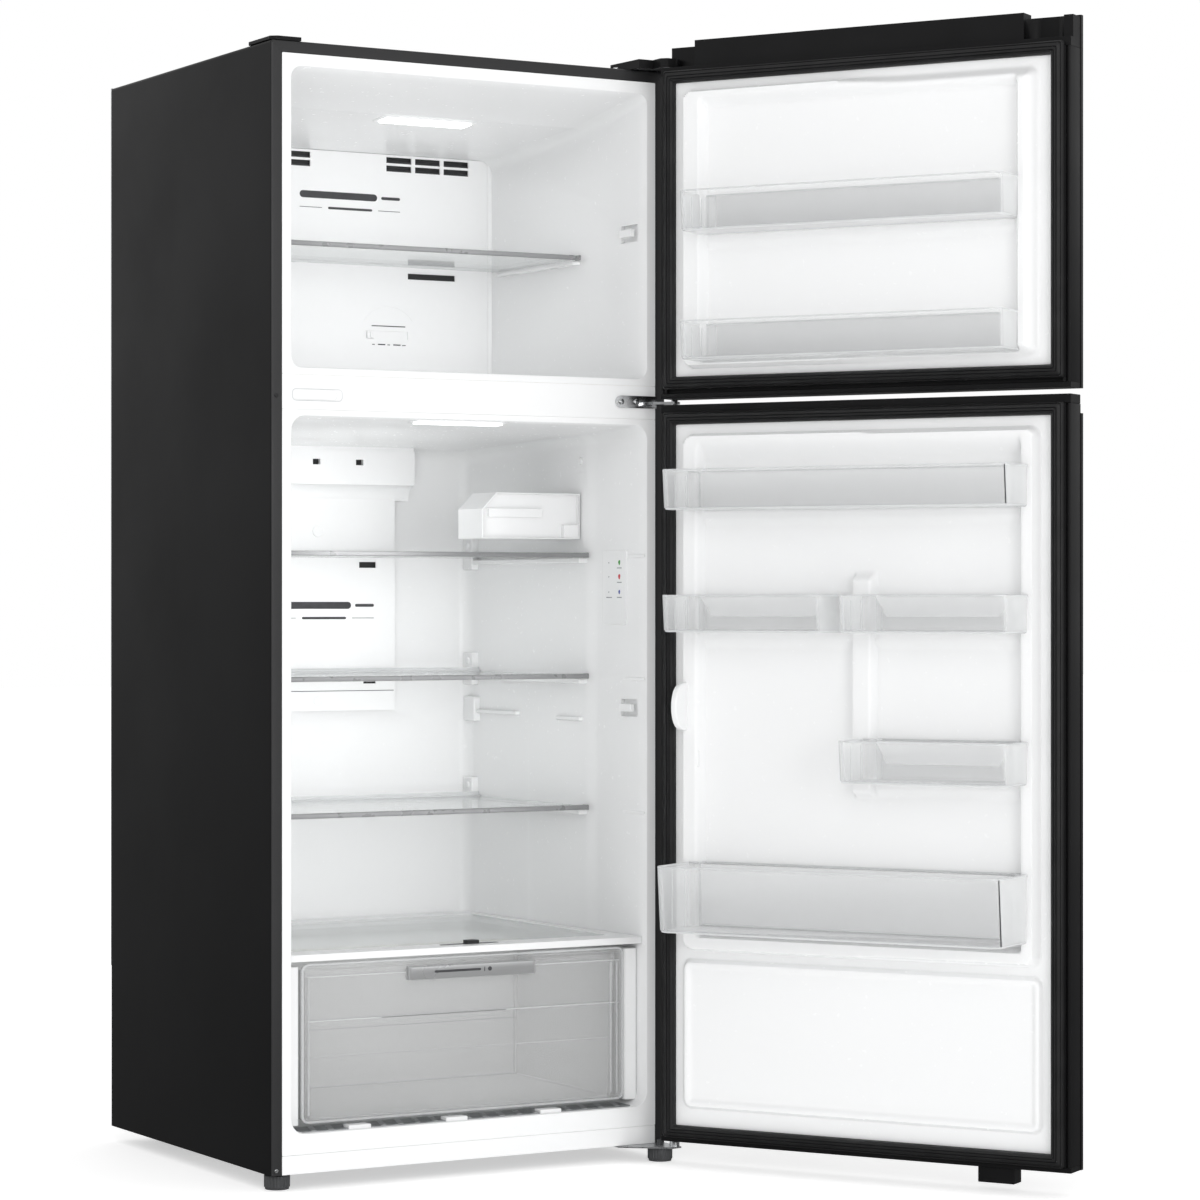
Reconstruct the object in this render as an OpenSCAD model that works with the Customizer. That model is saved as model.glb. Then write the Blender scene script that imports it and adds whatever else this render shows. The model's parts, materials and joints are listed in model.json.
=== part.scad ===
// Top freezer refrigerator with right-hand hinges, both doors standing open at rest.
// Frame: +X to the right of a person facing the doors, +Y to the back, +Z up.
// The floor is z = 0 and the cabinet's front flange lies in the plane y = 0.

/* [Cabinet] */
// Width over the painted side walls
cab_w = 700; // [690:1:720]
// Height of the cabinet top above the floor
cab_top = 1752; // [1746:1:1770]
// Height of the cabinet's lower edge above the floor
cab_bottom = 25; // [25:1:28]
// Depth from the front flange to the back panel
cab_d = 625; // [620:1:640]
// Thickness of the outer steel sheet
sheet = 1.2; // [0.8:0.1:1.5]
// Width of the steel return around the front
flange = 18.5; // [16:0.5:20]

/* [Compartments] */
// Half the width of both door openings
open_half = 315; // [310:1:316]
// Lower edge of the freezer opening
fz_low = 1256; // [1254:1:1260]
// Upper edge of the freezer opening
fz_high = 1714; // [1705:1:1716]
// Lower edge of the fridge opening
fr_low = 86; // [84:1:88]
// Upper edge of the fridge opening
fr_high = 1181; // [1176:1:1182]
// Thickness of the moulded liners
liner_t = 2; // [1.5:0.1:2.5]

/* [Doors] */
// Angle by which both doors stand open at rest
door_angle = 120.8; // [0:0.1:135]
// Sideways place of the hinge axis
pivot_x = 340; // [338:1:341]
// Distance of the hinge axis in front of the cabinet
pivot_y = -46; // [-48:1:-44]
// Lower edge of the freezer door
fz_door_low = 1221; // [1220:1:1223]
// Upper edge of the fridge door
fr_door_high = 1211; // [1208:1:1212]
// Lower edge of the fridge door
fr_door_low = 37; // [36:1:40]

/* [Shelves and bins] */
// Underside of the upper fridge shelf
shelf_upper = 972; // [965:1:976]
// Underside of the middle fridge shelf
shelf_middle = 773; // [765:1:776]
// Underside of the lower fridge shelf
shelf_lower = 557; // [550:1:562]
// Underside of the freezer shelf
shelf_freezer = 1464; // [1455:1:1466]
// Wall thickness of the clear bins
bin_wall = 2.5; // [2:0.1:3]

/* [Hidden] */
$fn = 48;

half_w = cab_w / 2;
gap = 0.2;                                  // gap between neighbours that only touch
trim_half = half_w - flange - gap;          // half width of the white parts of the front
rail_low = fr_high + 10;                    // lower edge of the rail between the doors
rail_high = fz_low - 12;                    // upper edge of that rail
kick_high = cab_bottom + 29;                // upper edge of the kick plate
liner_top = cab_top - flange - gap;         // upper edge of the freezer liner's flange

// Freezer compartment
fz_rear = 570;                              // rear wall of the freezer liner
fz_rear_half = 303;                         // half width at the rear
fz_bend_y = 195;                            // where the sloping ceiling bends
fz_bend_drop = 34;                          // drop of the ceiling at the bend
fz_rear_drop = 61;                          // drop of the ceiling at the rear
fz_slope = atan((fz_rear_drop - fz_bend_drop) / (fz_rear - fz_bend_y));
fz_corner = 17;                             // corner radius of the opening
panel_y = 503;                              // front of the rear air panel
panel_t = 3;                                // thickness of the air panel

// Recesses around the door switches
niche_z = [1494, 725.5];                    // heights of their middles
niche_h = 28;                               // height of a recess
switch_h = 12;                              // height of a switch's plunger

// Fridge compartment
fr_rear = 583;                              // rear wall of the fridge liner
fr_rear_half = 302;                         // half width at the rear
fr_step_y = 168;                            // where the side walls step inwards
fr_step_half = 307;                         // half width just behind the step
fr_bend_y = 60;                             // where the sloping ceiling bends
fr_bend_drop = 4;                           // drop of the ceiling at the bend
fr_slope = atan(fr_bend_drop / fr_bend_y);
fr_corner = 23;                             // corner radius of the opening
bay_y = 410;                                // front of the machine bay
bay_top = 290;                              // top of the machine bay
bay_wall = 40;                              // insulation over the machine bay

// Shelves
glass_t = 4;                                // glass thickness
shelf_front = 160;                          // front edge of the fridge shelves
shelf_back = 543;                           // rear edge of the fridge shelves
shelf_half = 300.4;                         // half width of the fridge shelves
fz_shelf_front = 190;                       // front edge of the freezer shelf
fz_shelf_back = 478;                        // rear edge of the freezer shelf
fz_shelf_half = 302.4;                      // half width of the freezer shelf
trim_h = 8;                                 // height of the shelf trims
trim_d = 14;                                // depth of the front trims

// Crisper
cover_z = 346.5;                            // underside of the crisper cover
cover_h = 11;                               // height of the crisper cover
cover_front = 12;                           // front edge of the crisper cover
cover_back = 578;                           // rear edge of the crisper cover
cover_half = 313.6;                         // half width of the cover's front
cover_back_half = 301.4;                    // half width of the cover's rear
drawer_half = 287;                          // half width of the drawer's front
drawer_low = 97;                            // underside of the drawer
drawer_high = 342;                          // top of the drawer's front
drawer_front = 24;                          // front face of the drawer
drawer_back = 366;                          // rear face of the drawer
drawer_wall = 3;                            // wall thickness of the drawer
slot_x = [-35, 68];                         // ends of the humidity slot
slot_y = 46;                                // middle of the humidity slot

// Doors, described closed
panel_front = -67.5;                        // outer face of the doors
panel_back = -55.5;                         // back of the outer panel
body_back = -15.7;                          // inner face of the door body
flange_y = -13.5;                           // inner face of the door liner's flange
gasket_y = -1;                              // sealing face of the gasket
gasket_out = 10;                            // gasket's distance from the door's edge
gasket_wide = 20;                           // width of the gasket
dike_out = 302;                             // half width over the raised liner border
dike_in = 277;                              // half width inside the raised border
dike_y = 6;                                 // crest of the raised border
fz_door_high = 1749;                        // upper edge of the freezer door's body
fascia_high = 1786;                         // upper edge of the freezer door's panel
fr_fascia_high = 1183;                      // upper edge of the fridge door's panel
pin_r = 5;                                  // radius of the hinge pins
bore_r = 5.06;                              // radius of the hinge bores
hinge_clear_r = 9;                          // free space around a pin inside a door
cap_low = 8;                                // height of the caps under the doors
cap_high = 14;                              // height of the caps over the doors

// Machine bay
comp_x = 150;                               // middle of the compressor
comp_y = 520;                               // middle of the compressor, front to back
comp_r = 66;                                // radius of the compressor's shell
gland_x = 270;                              // middle of the mains lead's grommet
gland_z = 212;                              // its height
gland_r = 10;                               // radius of the hole it sits in
fan_z = 1585;                               // height of the evaporator fan
fan_y = 538;                                // middle of the fan, front to back

// Feet and rollers
foot_r = 20;                                // radius of a levelling foot
foot_h = 21;                                // height of a foot's disc
foot_left_x = -324;                         // left foot, sideways
foot_left_y = 34;                           // left foot, front to back
foot_right_x = 329;                         // right foot, sideways
foot_right_y = -19;                         // right foot, front to back
roller_r = 17;                              // radius of a rear roller
roller_x = 265;                             // distance of the rollers from the middle
roller_y = 590;                             // axle of the rollers, front to back
axle_r = 4;                                 // radius of the roller axle

// A rectangle with rounded corners, given by its lowest and highest corner
module round_rect(low, high, r) {
    translate([low.x + r, low.y])
        square([high.x - low.x - 2 * r, high.y - low.y]);
    translate([low.x, low.y + r])
        square([high.x - low.x, high.y - low.y - 2 * r]);
    for (x = [low.x + r, high.x - r], y = [low.y + r, high.y - r])
        translate([x, y])
            circle(r = r);
}

// A box given by its lowest and highest corner
module block(low, high) {
    translate(low)
        cube(high - low);
}

// A plate that stands upright: its outline is drawn in x and z
module upright(y0, y1) {
    translate([0, y1, 0])
        rotate([90, 0, 0])
            linear_extrude(y1 - y0)
                children();
}

// An outline in y and z, pushed along x
module sideways(x0, x1) {
    translate([x0, 0, 0])
        rotate([90, 0, 90])
            linear_extrude(x1 - x0)
                children();
}

// Turns a door from closed to where it stands at rest
module swung() {
    translate([pivot_x, pivot_y, 0])
        rotate([0, 0, door_angle])
            translate([-pivot_x, -pivot_y, 0])
                children();
}

// A vertical cylinder with its foot at a point
module post(at, r, h) {
    translate(at)
        cylinder(r = r, h = h);
}

// ---------------------------------------------------------------- compartments

// The freezer's inner space, made larger by grow on every side but the front
module freezer_space(grow) {
    intersection() {
        upright(-1, fz_rear + grow)
            round_rect([-open_half - grow, fz_low - grow], [open_half + grow, fz_high + grow], fz_corner + grow);
        translate([0, 0, fz_low - 50])
            linear_extrude(fz_high - fz_low + 100)
                polygon([
                    [-open_half - grow, -1], [open_half + grow, -1], [open_half + grow, 0],
                    [fz_rear_half + grow, fz_rear + grow], [-fz_rear_half - grow, fz_rear + grow],
                    [-open_half - grow, 0]
                ]);
        sideways(-open_half - 50, open_half + 50)
            polygon([
                [-1, fz_low - grow], [fz_rear + grow, fz_low - grow],
                [fz_rear + grow, fz_high - fz_rear_drop + grow],
                [fz_bend_y, fz_high - fz_bend_drop + grow], [0, fz_high + grow], [-1, fz_high + grow]
            ]);
    }
}

// The fridge's inner space, made larger by grow on every side but the front
module fridge_space(grow) {
    step_z = bay_top + bay_wall;
    step_y = bay_y - bay_wall;
    intersection() {
        upright(-1, fr_rear + grow)
            round_rect([-open_half - grow, fr_low - grow], [open_half + grow, fr_high + grow], fr_corner + grow);
        translate([0, 0, fr_low - 50])
            linear_extrude(fr_high - fr_low + 100)
                polygon([for (s = [
                    [open_half, -1], [open_half, 0], [open_half - 4, fr_step_y - 8],
                    [fr_step_half, fr_step_y], [fr_rear_half, fr_rear]
                ]) [s.x + grow, s.y + (s.y == fr_rear ? grow : 0)], for (s = [
                    [fr_rear_half, fr_rear], [fr_step_half, fr_step_y],
                    [open_half - 4, fr_step_y - 8], [open_half, 0], [open_half, -1]
                ]) [-s.x - grow, s.y + (s.y == fr_rear ? grow : 0)]]);
        sideways(-open_half - 50, open_half + 50)
            polygon([
                [-1, fr_low - grow], [step_y + grow, fr_low - grow], [step_y + grow, step_z - grow],
                [fr_rear + grow, step_z - grow], [fr_rear + grow, fr_high - 23 + grow],
                [fr_bend_y, fr_high - fr_bend_drop + grow], [0, fr_high + grow], [-1, fr_high + grow]
            ]);
    }
}

// ---------------------------------------------------------------- cabinet

module cabinet_shell() {
    color("#1b1c1e")
        difference() {
            block([-half_w, 0, cab_bottom], [half_w, cab_d - 3.2, cab_top]);
            block([-half_w + sheet, sheet, cab_bottom - 1], [half_w - sheet, cab_d, cab_top - sheet]);
            block([-half_w + flange, -1, cab_bottom - 1], [half_w - flange, 5, cab_top - flange]);
        }
}

module back_panel() {
    color("#8f9294")
        difference() {
            block([-half_w, cab_d - 3, bay_top + 2], [half_w, cab_d, cab_top]);
            for (x = [-250 : 100 : 250])
                block([x - 4, cab_d - 1, bay_top + 60], [x + 4, cab_d + 1, cab_top - 60]);
        }
}

module insulation() {
    g = 0.4;
    color("#e9dfb4")
        difference() {
            block([-half_w + sheet + g, sheet + 2, kick_high + 2], [half_w - sheet - g, cab_d - 3.6, cab_top - sheet - g]);
            freezer_space(liner_t + g);
            fridge_space(liner_t + g);
            block([-half_w, 0, rail_low - 2], [half_w, 26, rail_high + 2]);
            block([-half_w, 0, liner_top - 60], [half_w, 5, cab_top + 1]);
            block([-half_w, 0, kick_high - 1], [half_w, 5, cab_top]);
            block([-half_w, bay_y - 2, 0], [half_w, cab_d, bay_top + 2]);
            for (z = niche_z)
                niche_shell(z, g);
        }
}

// The recess in a liner's right wall around a door switch, centred on a height
module niche_space(z) {
    block([open_half - 10, 27, z - niche_h / 2], [open_half + 5, 77, z + niche_h / 2]);
}

// The moulding around that recess, made larger by grow
module niche_shell(z, grow) {
    side = niche_h / 2 + liner_t + grow;
    block([open_half - 4, 27 - liner_t - grow, z - side], [open_half + 5 + liner_t + grow, 77 + liner_t + grow, z + side]);
}

module freezer_liner() {
    color("#f4f5f5")
        difference() {
            union() {
                intersection() {
                    freezer_space(liner_t);
                    block([-400, 0, 1200], [400, 600, 1800]);
                }
                upright(0, liner_t)
                    polygon([
                        [-trim_half, rail_high + gap], [trim_half, rail_high + gap],
                        [trim_half, liner_top], [-trim_half, liner_top]
                    ]);
                niche_shell(niche_z[0], 0);
            }
            freezer_space(0);
            niche_space(niche_z[0]);
        }
    color("#f4f5f5")
        for (s = [-1, 1])
            freezer_ledge(s);
}

// A moulded rib on a freezer side wall that carries the shelf
module freezer_ledge(side) {
    x0 = min(side * 294, side * 314);
    intersection() {
        block([x0, 205, shelf_freezer - 9], [x0 + 20, 470, shelf_freezer - 2.3]);
        freezer_space(1);
    }
}

module fridge_liner() {
    color("#f4f5f5")
        difference() {
            union() {
                intersection() {
                    fridge_space(liner_t);
                    block([-400, 0, 50], [400, 700, 1240]);
                }
                upright(0, liner_t)
                    polygon([
                        [-trim_half, kick_high + gap], [trim_half, kick_high + gap],
                        [trim_half, rail_low - gap], [-trim_half, rail_low - gap]
                    ]);
                niche_shell(niche_z[1], 0);
            }
            fridge_space(0);
            niche_space(niche_z[1]);
        }
    color("#f4f5f5")
        for (s = [-1, 1], z = [shelf_upper, shelf_middle, shelf_lower])
            fridge_ledge(s, z);
}

// A moulded rib on a fridge side wall, with the raised stop behind the shelf
module fridge_ledge(side, z) {
    x0 = min(side * 290, side * 309);
    intersection() {
        union() {
            block([x0, 176, z - 11], [x0 + 19, 574, z - 2.3]);
            block([x0, shelf_back + 3, z - 20], [x0 + 19, 580, z + 36]);
        }
        fridge_space(1);
    }
}

module mullion_rail() {
    slot_r = 7;
    color("#f2f3f3")
        difference() {
            block([-trim_half, 0, rail_low], [trim_half, 24, rail_high]);
            upright(-1, 1.5) {
                translate([-308, 1213])
                    circle(r = slot_r);
                translate([-245, 1213])
                    circle(r = slot_r);
                translate([-308, 1213 - slot_r])
                    square([63, 2 * slot_r]);
            }
        }
}

module kick_plate() {
    color("#f2f3f3")
        difference() {
            block([-trim_half, 0, cab_bottom], [trim_half, 16, kick_high]);
            block([-trim_half + 2, 2, cab_bottom - 1], [trim_half - 2, 20, kick_high - 2]);
        }
}

module base_frame() {
    rail_w = 26;
    color("#6d7073")
        difference() {
            union() {
                for (s = [-1, 1])
                    block([s * 334 - rail_w / 2, 18, cab_bottom], [s * 334 + rail_w / 2, 612, cab_bottom + 12]);
                block([-321, bay_y, cab_bottom + 2], [321, 612, cab_bottom + 6]);
                block([-321, 18, cab_bottom + 2], [321, 60, cab_bottom + 6]);
                for (s = [-1, 1], t = [-1, 1])
                    block([s * roller_x + t * 15 - 2, 566, roller_r - 7], [s * roller_x + t * 15 + 2, 610, cab_bottom + 3]);
            }
            for (s = [-1, 1])
                block([s * roller_x - 12.8, 566, cab_bottom], [s * roller_x + 12.8, 612.1, cab_bottom + 13]);
            sideways(-400, 400)
                translate([roller_y, roller_r])
                    circle(r = axle_r + 0.06);
            post([foot_left_x, foot_left_y, 0], 5.3, 60);
        }
}

module compressor() {
    base_z = cab_bottom + 6.2;
    color("#26282a")
        union() {
            for (x = [-1, 1], y = [-1, 1])
                post([comp_x + x * 70, comp_y + y * 48, base_z], 11, 12.5);
            block([comp_x - 86, comp_y - 60, base_z + 12], [comp_x + 86, comp_y + 60, base_z + 15]);
            post([comp_x, comp_y, base_z + 14], comp_r, 96);
            translate([comp_x, comp_y, base_z + 110])
                intersection() {
                    sphere(r = comp_r);
                    block([-comp_r, -comp_r, 0], [comp_r, comp_r, comp_r - 14]);
                }
            block([comp_x - 96, comp_y - 30, base_z + 40], [comp_x - 55, comp_y + 30, base_z + 92]);
            post([comp_x + 40, comp_y + 20, base_z + 100], 4, 90);
        }
}

module bay_cover() {
    color("#2a2c2e")
        difference() {
            block([-half_w + 2, cab_d - 3, cab_bottom + 8], [half_w - 2, cab_d, bay_top + 1.5]);
            for (x = [-280 : 20 : -40], z = [110, 190])
                block([x - 4, cab_d - 4, z - 30], [x + 4, cab_d + 1, z + 30]);
            translate([gland_x, cab_d - 4, gland_z])
                rotate([-90, 0, 0])
                    cylinder(r = gland_r, h = 6);
        }
}

// The grommet in the bay cover through which the mains lead would pass
module cord_gland() {
    color("#111111")
        translate([gland_x, 0, gland_z])
            rotate([-90, 0, 0])
                difference() {
                    union() {
                        translate([0, 0, cab_d - 6.2])
                            cylinder(r = gland_r + 3, h = 3);
                        translate([0, 0, cab_d - 6.2])
                            cylinder(r = gland_r - gap, h = 6.2);
                        translate([0, 0, cab_d - 18])
                            cylinder(r = 7, h = 14);
                    }
                    translate([0, 0, cab_d - 19])
                        cylinder(r = 4, h = 20);
                }
}

module evaporator() {
    color("#c9ccce")
        union() {
            for (x = [-230 : 20 : 230])
                block([x - 0.6, 516, 1292], [x + 0.6, 558, 1476]);
            for (z = [1310 : 37 : 1460], y = [527, 547])
                translate([-242, y, z])
                    rotate([0, 90, 0])
                        cylinder(r = 4, h = 484);
        }
}

// A row of slots through the freezer's air panel
module panel_slots(x0, cols) {
    for (i = [0 : cols - 1], z = [1628.6, 1642.8])
        block([x0 + i * 55, panel_y - 1, z], [x0 + i * 55 + 48, panel_y + panel_t + 1, z + 10.2]);
}

module freezer_air_panel() {
    half = 300;
    color("#f1f2f2")
        difference() {
            union() {
                upright(panel_y, panel_y + panel_t) {
                    round_rect([-half, fz_low + 3], [half, 1657], 14);
                    translate([-half, fz_low + 3])
                        square([2 * half, 60]);
                }
                for (x = [-262, -20, 262])
                    block([x - 3, panel_y + 1, fz_low + 3], [x + 3, 512, 1500]);
                translate([0, panel_y + 1, fan_z])
                    rotate([-90, 0, 0])
                        cylinder(r = 9, h = 14);
            }
            panel_slots(102, 3);
            panel_slots(-199, 3);
            block([143, panel_y - 1, 1446.5], [234, panel_y + 1.6, 1457]);
            block([62, panel_y - 1, 1343], [143, panel_y + 2, 1357]);
            translate([0, panel_y + 6, fan_z])
                rotate([-90, 0, 0])
                    cylinder(r = 3.06, h = 10);
        }
}

module fan_rotor() {
    color("#3a3d40")
        translate([0, 0, fan_z])
            union() {
                translate([0, panel_y + 8, 0])
                    rotate([-90, 0, 0])
                        cylinder(r = 3, h = 30);
                translate([0, fan_y - 10, 0])
                    rotate([-90, 0, 0])
                        cylinder(r = 14, h = 20);
                for (a = [0 : 72 : 288])
                    rotate([0, a, 0])
                        translate([30, fan_y, 0])
                            rotate([32, 0, 0])
                                cube([42, 2, 26], center = true);
            }
}

module fridge_air_duct() {
    duct_x = 18;
    color("#f1f2f2")
        difference() {
            union() {
                block([duct_x - 122, 546, 712], [duct_x + 122, 582.6, 1100]);
                difference() {
                    block([duct_x - 148, 522, 1070], [duct_x + 148, 582.6, 1154]);
                    sideways(-400, 400)
                        translate([522, 1072])
                            circle(r = 24);
                }
            }
            block([duct_x - 119, 549, 715], [duct_x + 119, 583, 1097]);
            block([duct_x - 145, 549, 1099], [duct_x + 145, 583, 1151]);
            for (x = [-27, 54])
                block([x, 515, 1129], [x + 14, 552, 1138.5]);
            block([72, 540, 955], [104, 552, 965]);
            block([80, 540, 757.5], [104, 552, 761]);
        }
}

module interior_lamps() {
    color("#fbfcff")
        translate([0, fz_bend_y, fz_high - fz_bend_drop])
            rotate([-fz_slope, 0, 0])
                block([-44, 17, -4.2], [110, 51, -0.3]);
    color("#fbfcff")
        translate([0, 0, fr_high])
            rotate([-fr_slope, 0, 0])
                block([-90, 16, -4.2], [60, 36, -0.3]);
}

// ---------------------------------------------------------------- hinges

// Plan of the top hinge cover, drawn smaller by inset: it ends in a disc around the
// pin and stays left of the path that the open door's end takes
module hinge_plan(inset) {
    polygon([
        [283 + inset, 60 - inset], [349 - inset, 60 - inset], [349 - inset, -15 + inset],
        [337.4 - inset, -20 + inset], [337.4 - inset, pivot_y - 8.4 + inset],
        [322 + inset, pivot_y - 8.4 + inset], [313.4 + inset, pivot_y],
        [313.4 + inset, -22 + inset], [288 + inset, -22 + inset]
    ]);
    translate([pivot_x, pivot_y])
        circle(r = 8.4 - inset);
}

module top_hinge() {
    color("#9a9ea1")
        translate([0, 0, cab_top + gap]) {
            linear_extrude(3)
                intersection() {
                    hinge_plan(2.4);
                    translate([280, -100])
                        square([80, 142]);
                }
            post([pivot_x, pivot_y, -13], pin_r, 14);
        }
}

module top_hinge_cover() {
    color("#232527")
        translate([0, 0, cab_top + gap])
            difference() {
                linear_extrude(14)
                    hinge_plan(0);
                translate([0, 0, -1])
                    linear_extrude(13)
                        hinge_plan(2);
            }
}

module blank_hinge_cover() {
    color("#232527")
        translate([0, 0, cab_top + gap])
            linear_extrude(6)
                polygon([[-349, 84], [-298, 84], [-298, 1], [-340, 1], [-349, 8]]);
}

module middle_hinge() {
    arm_z = 1213.5;
    color("#c9cbcc")
        union() {
            upright(-3.4, -0.4) {
                translate([266, 1218])
                    circle(r = 9.8);
                translate([266, 1208.2])
                    square([66, 19.6]);
            }
            translate([0, 0, arm_z])
                linear_extrude(4)
                    polygon([
                        [306, -0.6], [332, -0.6], [348, -36], [348, -50], [343, -55],
                        [334, -55], [312, -26]
                    ]);
            post([pivot_x, pivot_y, arm_z - 12], pin_r, 30);
        }
}

module bottom_hinge() {
    color("#8c9093")
        difference() {
            union() {
                translate([0, 0, cab_bottom - 2.6])
                    linear_extrude(2.4)
                        polygon([
                            [262, 50], [349, 50], [349, -52], [330, -56], [300, -32], [262, -2]
                        ]);
                post([pivot_x, pivot_y, cab_bottom - 1], pin_r, 23);
                post([pivot_x, pivot_y, cab_bottom - 1], 8, 12);
            }
            post([foot_right_x, foot_right_y, 0], 5.3, 60);
        }
}

module hinge_screws() {
    color("#d4d6d8")
        for (p = [[266, 1218], [294, 1218]])
            translate([p.x, -3.6, p.y])
                rotate([90, 0, 0])
                    difference() {
                        cylinder(r = 4.6, h = 2.2);
                        translate([0, 0, 1.2])
                            cylinder(r = 2, h = 2, $fn = 6);
                    }
    color("#d4d6d8")
        for (p = [[294, 30], [313, 30], [332, 30]])
            post([p.x, p.y, cab_top + 3.4], 5, 3);
    color("#d4d6d8")
        for (z = [32, 1211])
            translate([-341, -gap, z])
                rotate([90, 0, 0])
                    cylinder(r = 3.2, h = 1.2);
}

// ---------------------------------------------------------------- fittings inside

module freezer_temp_slider() {
    color("#fafafa")
        union() {
            block([65, panel_y - 2.2, 1344], [79, panel_y + 1.6, 1356]);
            block([70, panel_y - 4.4, 1345.5], [74, panel_y - 2, 1354.5]);
        }
}

module freezer_shelf() {
    color("#dfe6e8")
        block([-fz_shelf_half, fz_shelf_front + 6.3, shelf_freezer], [fz_shelf_half, fz_shelf_back - 5, shelf_freezer + glass_t]);
}

// Front and rear trims of one shelf; the front trim holds the glass in a groove
module shelf_trims(half, front, back, z) {
    difference() {
        union() {
            block([-half, front, z - 2], [half, front + trim_d, z - 2 + trim_h]);
            block([-half, back - trim_d, z], [half, back, z + trim_h + 3]);
        }
        block([-half - 1, front + 6, z - 0.1], [half + 1, back - 4.8, z + glass_t + 0.1]);
        block([-half - 1, front + 9, z - 5], [half + 1, front + trim_d + 1, z + 0.1]);
    }
}

module freezer_shelf_trim() {
    color("#b9bdc0")
        shelf_trims(fz_shelf_half, fz_shelf_front, fz_shelf_back, shelf_freezer);
}

module shelf_glass(z) {
    color("#dfe6e8")
        block([-shelf_half, shelf_front + 6.3, z], [shelf_half, shelf_back - 5, z + glass_t]);
}

module fridge_shelf_upper() {
    shelf_glass(shelf_upper);
}

module fridge_shelf_upper_trim() {
    color("#b9bdc0")
        shelf_trims(shelf_half, shelf_front, shelf_back, shelf_upper);
}

module fridge_shelf_middle() {
    shelf_glass(shelf_middle);
}

module fridge_shelf_middle_trim() {
    color("#b9bdc0")
        shelf_trims(shelf_half, shelf_front, shelf_back, shelf_middle);
}

module fridge_shelf_lower() {
    shelf_glass(shelf_lower);
}

module fridge_shelf_lower_trim() {
    color("#b9bdc0")
        shelf_trims(shelf_half, shelf_front, shelf_back, shelf_lower);
}

module crisper_cover_frame() {
    inner = 274;
    color("#f4f5f5")
        difference() {
            translate([0, 0, cover_z])
                linear_extrude(cover_h)
                    polygon([
                        [-cover_half, cover_front], [cover_half, cover_front],
                        [cover_half - 4, fr_step_y - 16], [fr_step_half - 2, fr_step_y - 2],
                        [cover_back_half - 1, cover_back], [-cover_back_half + 1, cover_back],
                        [-fr_step_half + 2, fr_step_y - 2], [-cover_half + 4, fr_step_y - 16]
                    ]);
            block([-inner, 72, cover_z - 1], [inner, 520, cover_z + cover_h + 1]);
            block([-inner - 8, 64, cover_z + cover_h - 5], [inner + 8, 528, cover_z + cover_h + 1]);
            block([slot_x[0], slot_y - 4, cover_z - 1], [slot_x[1], slot_y + 4, cover_z + cover_h + 1]);
        }
}

module crisper_cover_glass() {
    color("#dfe6e8")
        block([-281.6, 64.4, cover_z + cover_h - 4.8], [281.6, 527.6, cover_z + cover_h - 0.6]);
}

module humidity_slider() {
    top = cover_z + cover_h;
    color("#151515")
        union() {
            block([9, slot_y - 8, top + 0.3], [30, slot_y + 8, top + 6]);
            block([12, slot_y - 3.6, cover_z - 0.6], [27, slot_y + 3.6, top + 1]);
        }
}

module crisper_drawer() {
    side = drawer_half - 9;
    color("#e3e9ea")
        union() {
            difference() {
                block([-side, drawer_front + 2, drawer_low], [side, drawer_back, drawer_high - 12]);
                block([-side + drawer_wall, drawer_front + 5, drawer_low + drawer_wall], [side - drawer_wall, drawer_back - drawer_wall, 400]);
            }
            upright(drawer_front, drawer_front + drawer_wall)
                round_rect([-drawer_half, drawer_low - 1], [drawer_half, drawer_high], 12);
            for (s = [-1, 1])
                block([s * (side + 2) - 3, drawer_front + 2, drawer_high - 18], [s * (side + 2) + 3, drawer_back, drawer_high - 12]);
        }
}

module crisper_handle() {
    color("#9b9ea0")
        difference() {
            block([-107, drawer_front - 10, 308.5], [118, drawer_front - gap, 329.5]);
            block([-104, drawer_front - 7, 300], [115, drawer_front + 1, 323]);
        }
}

module side_rack() {
    x0 = 120;
    x1 = 304.2;
    wall = 2.4;
    web = 205;
    outline = [[x0, 1000.5], [x1, 1000.5], [x1, 1076], [x0 + 27, 1076], [x0, 1049]];
    color("#f6f7f7")
        difference() {
            upright(195, 278)
                polygon(outline);
            upright(194, web)
                offset(delta = -wall)
                    polygon(outline);
            upright(web + wall, 279)
                offset(delta = -wall)
                    polygon(outline);
        }
    color("#f6f7f7")
        block([x0 + 14, 197, 1036], [x1 - 70, web + 1, 1050]);
    color("#f6f7f7")
        block([x1 - 30, 196.5, 1002], [x1 - 1, web + 1, 1024]);
}

module door_switch(z) {
    color("#fcfcfc")
        block([open_half - 9.5, 34, z - switch_h / 2], [open_half - 2, 70, z + switch_h / 2]);
}

module freezer_door_switch() {
    door_switch(niche_z[0]);
}

module fridge_door_switch() {
    door_switch(niche_z[1]);
}

// ---------------------------------------------------------------- feet and rollers

module levelling_foot(x, y, top) {
    ribs = 24;
    color("#4a4c4e")
        translate([x, y, 0])
            difference() {
                union() {
                    cylinder(r = foot_r - 1.6, h = 4);
                    translate([0, 0, 3.6])
                        cylinder(r = foot_r, h = foot_h - 3.6);
                    cylinder(r = 5, h = top);
                }
                for (a = [0 : 360 / ribs : 359])
                    rotate([0, 0, a])
                        translate([foot_r + 1, 0, 5.5])
                            cylinder(r = 1.8, h = foot_h);
            }
}

module foot_left() {
    levelling_foot(foot_left_x, foot_left_y, 50);
}

module foot_right() {
    levelling_foot(foot_right_x, foot_right_y, 33);
}

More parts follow.
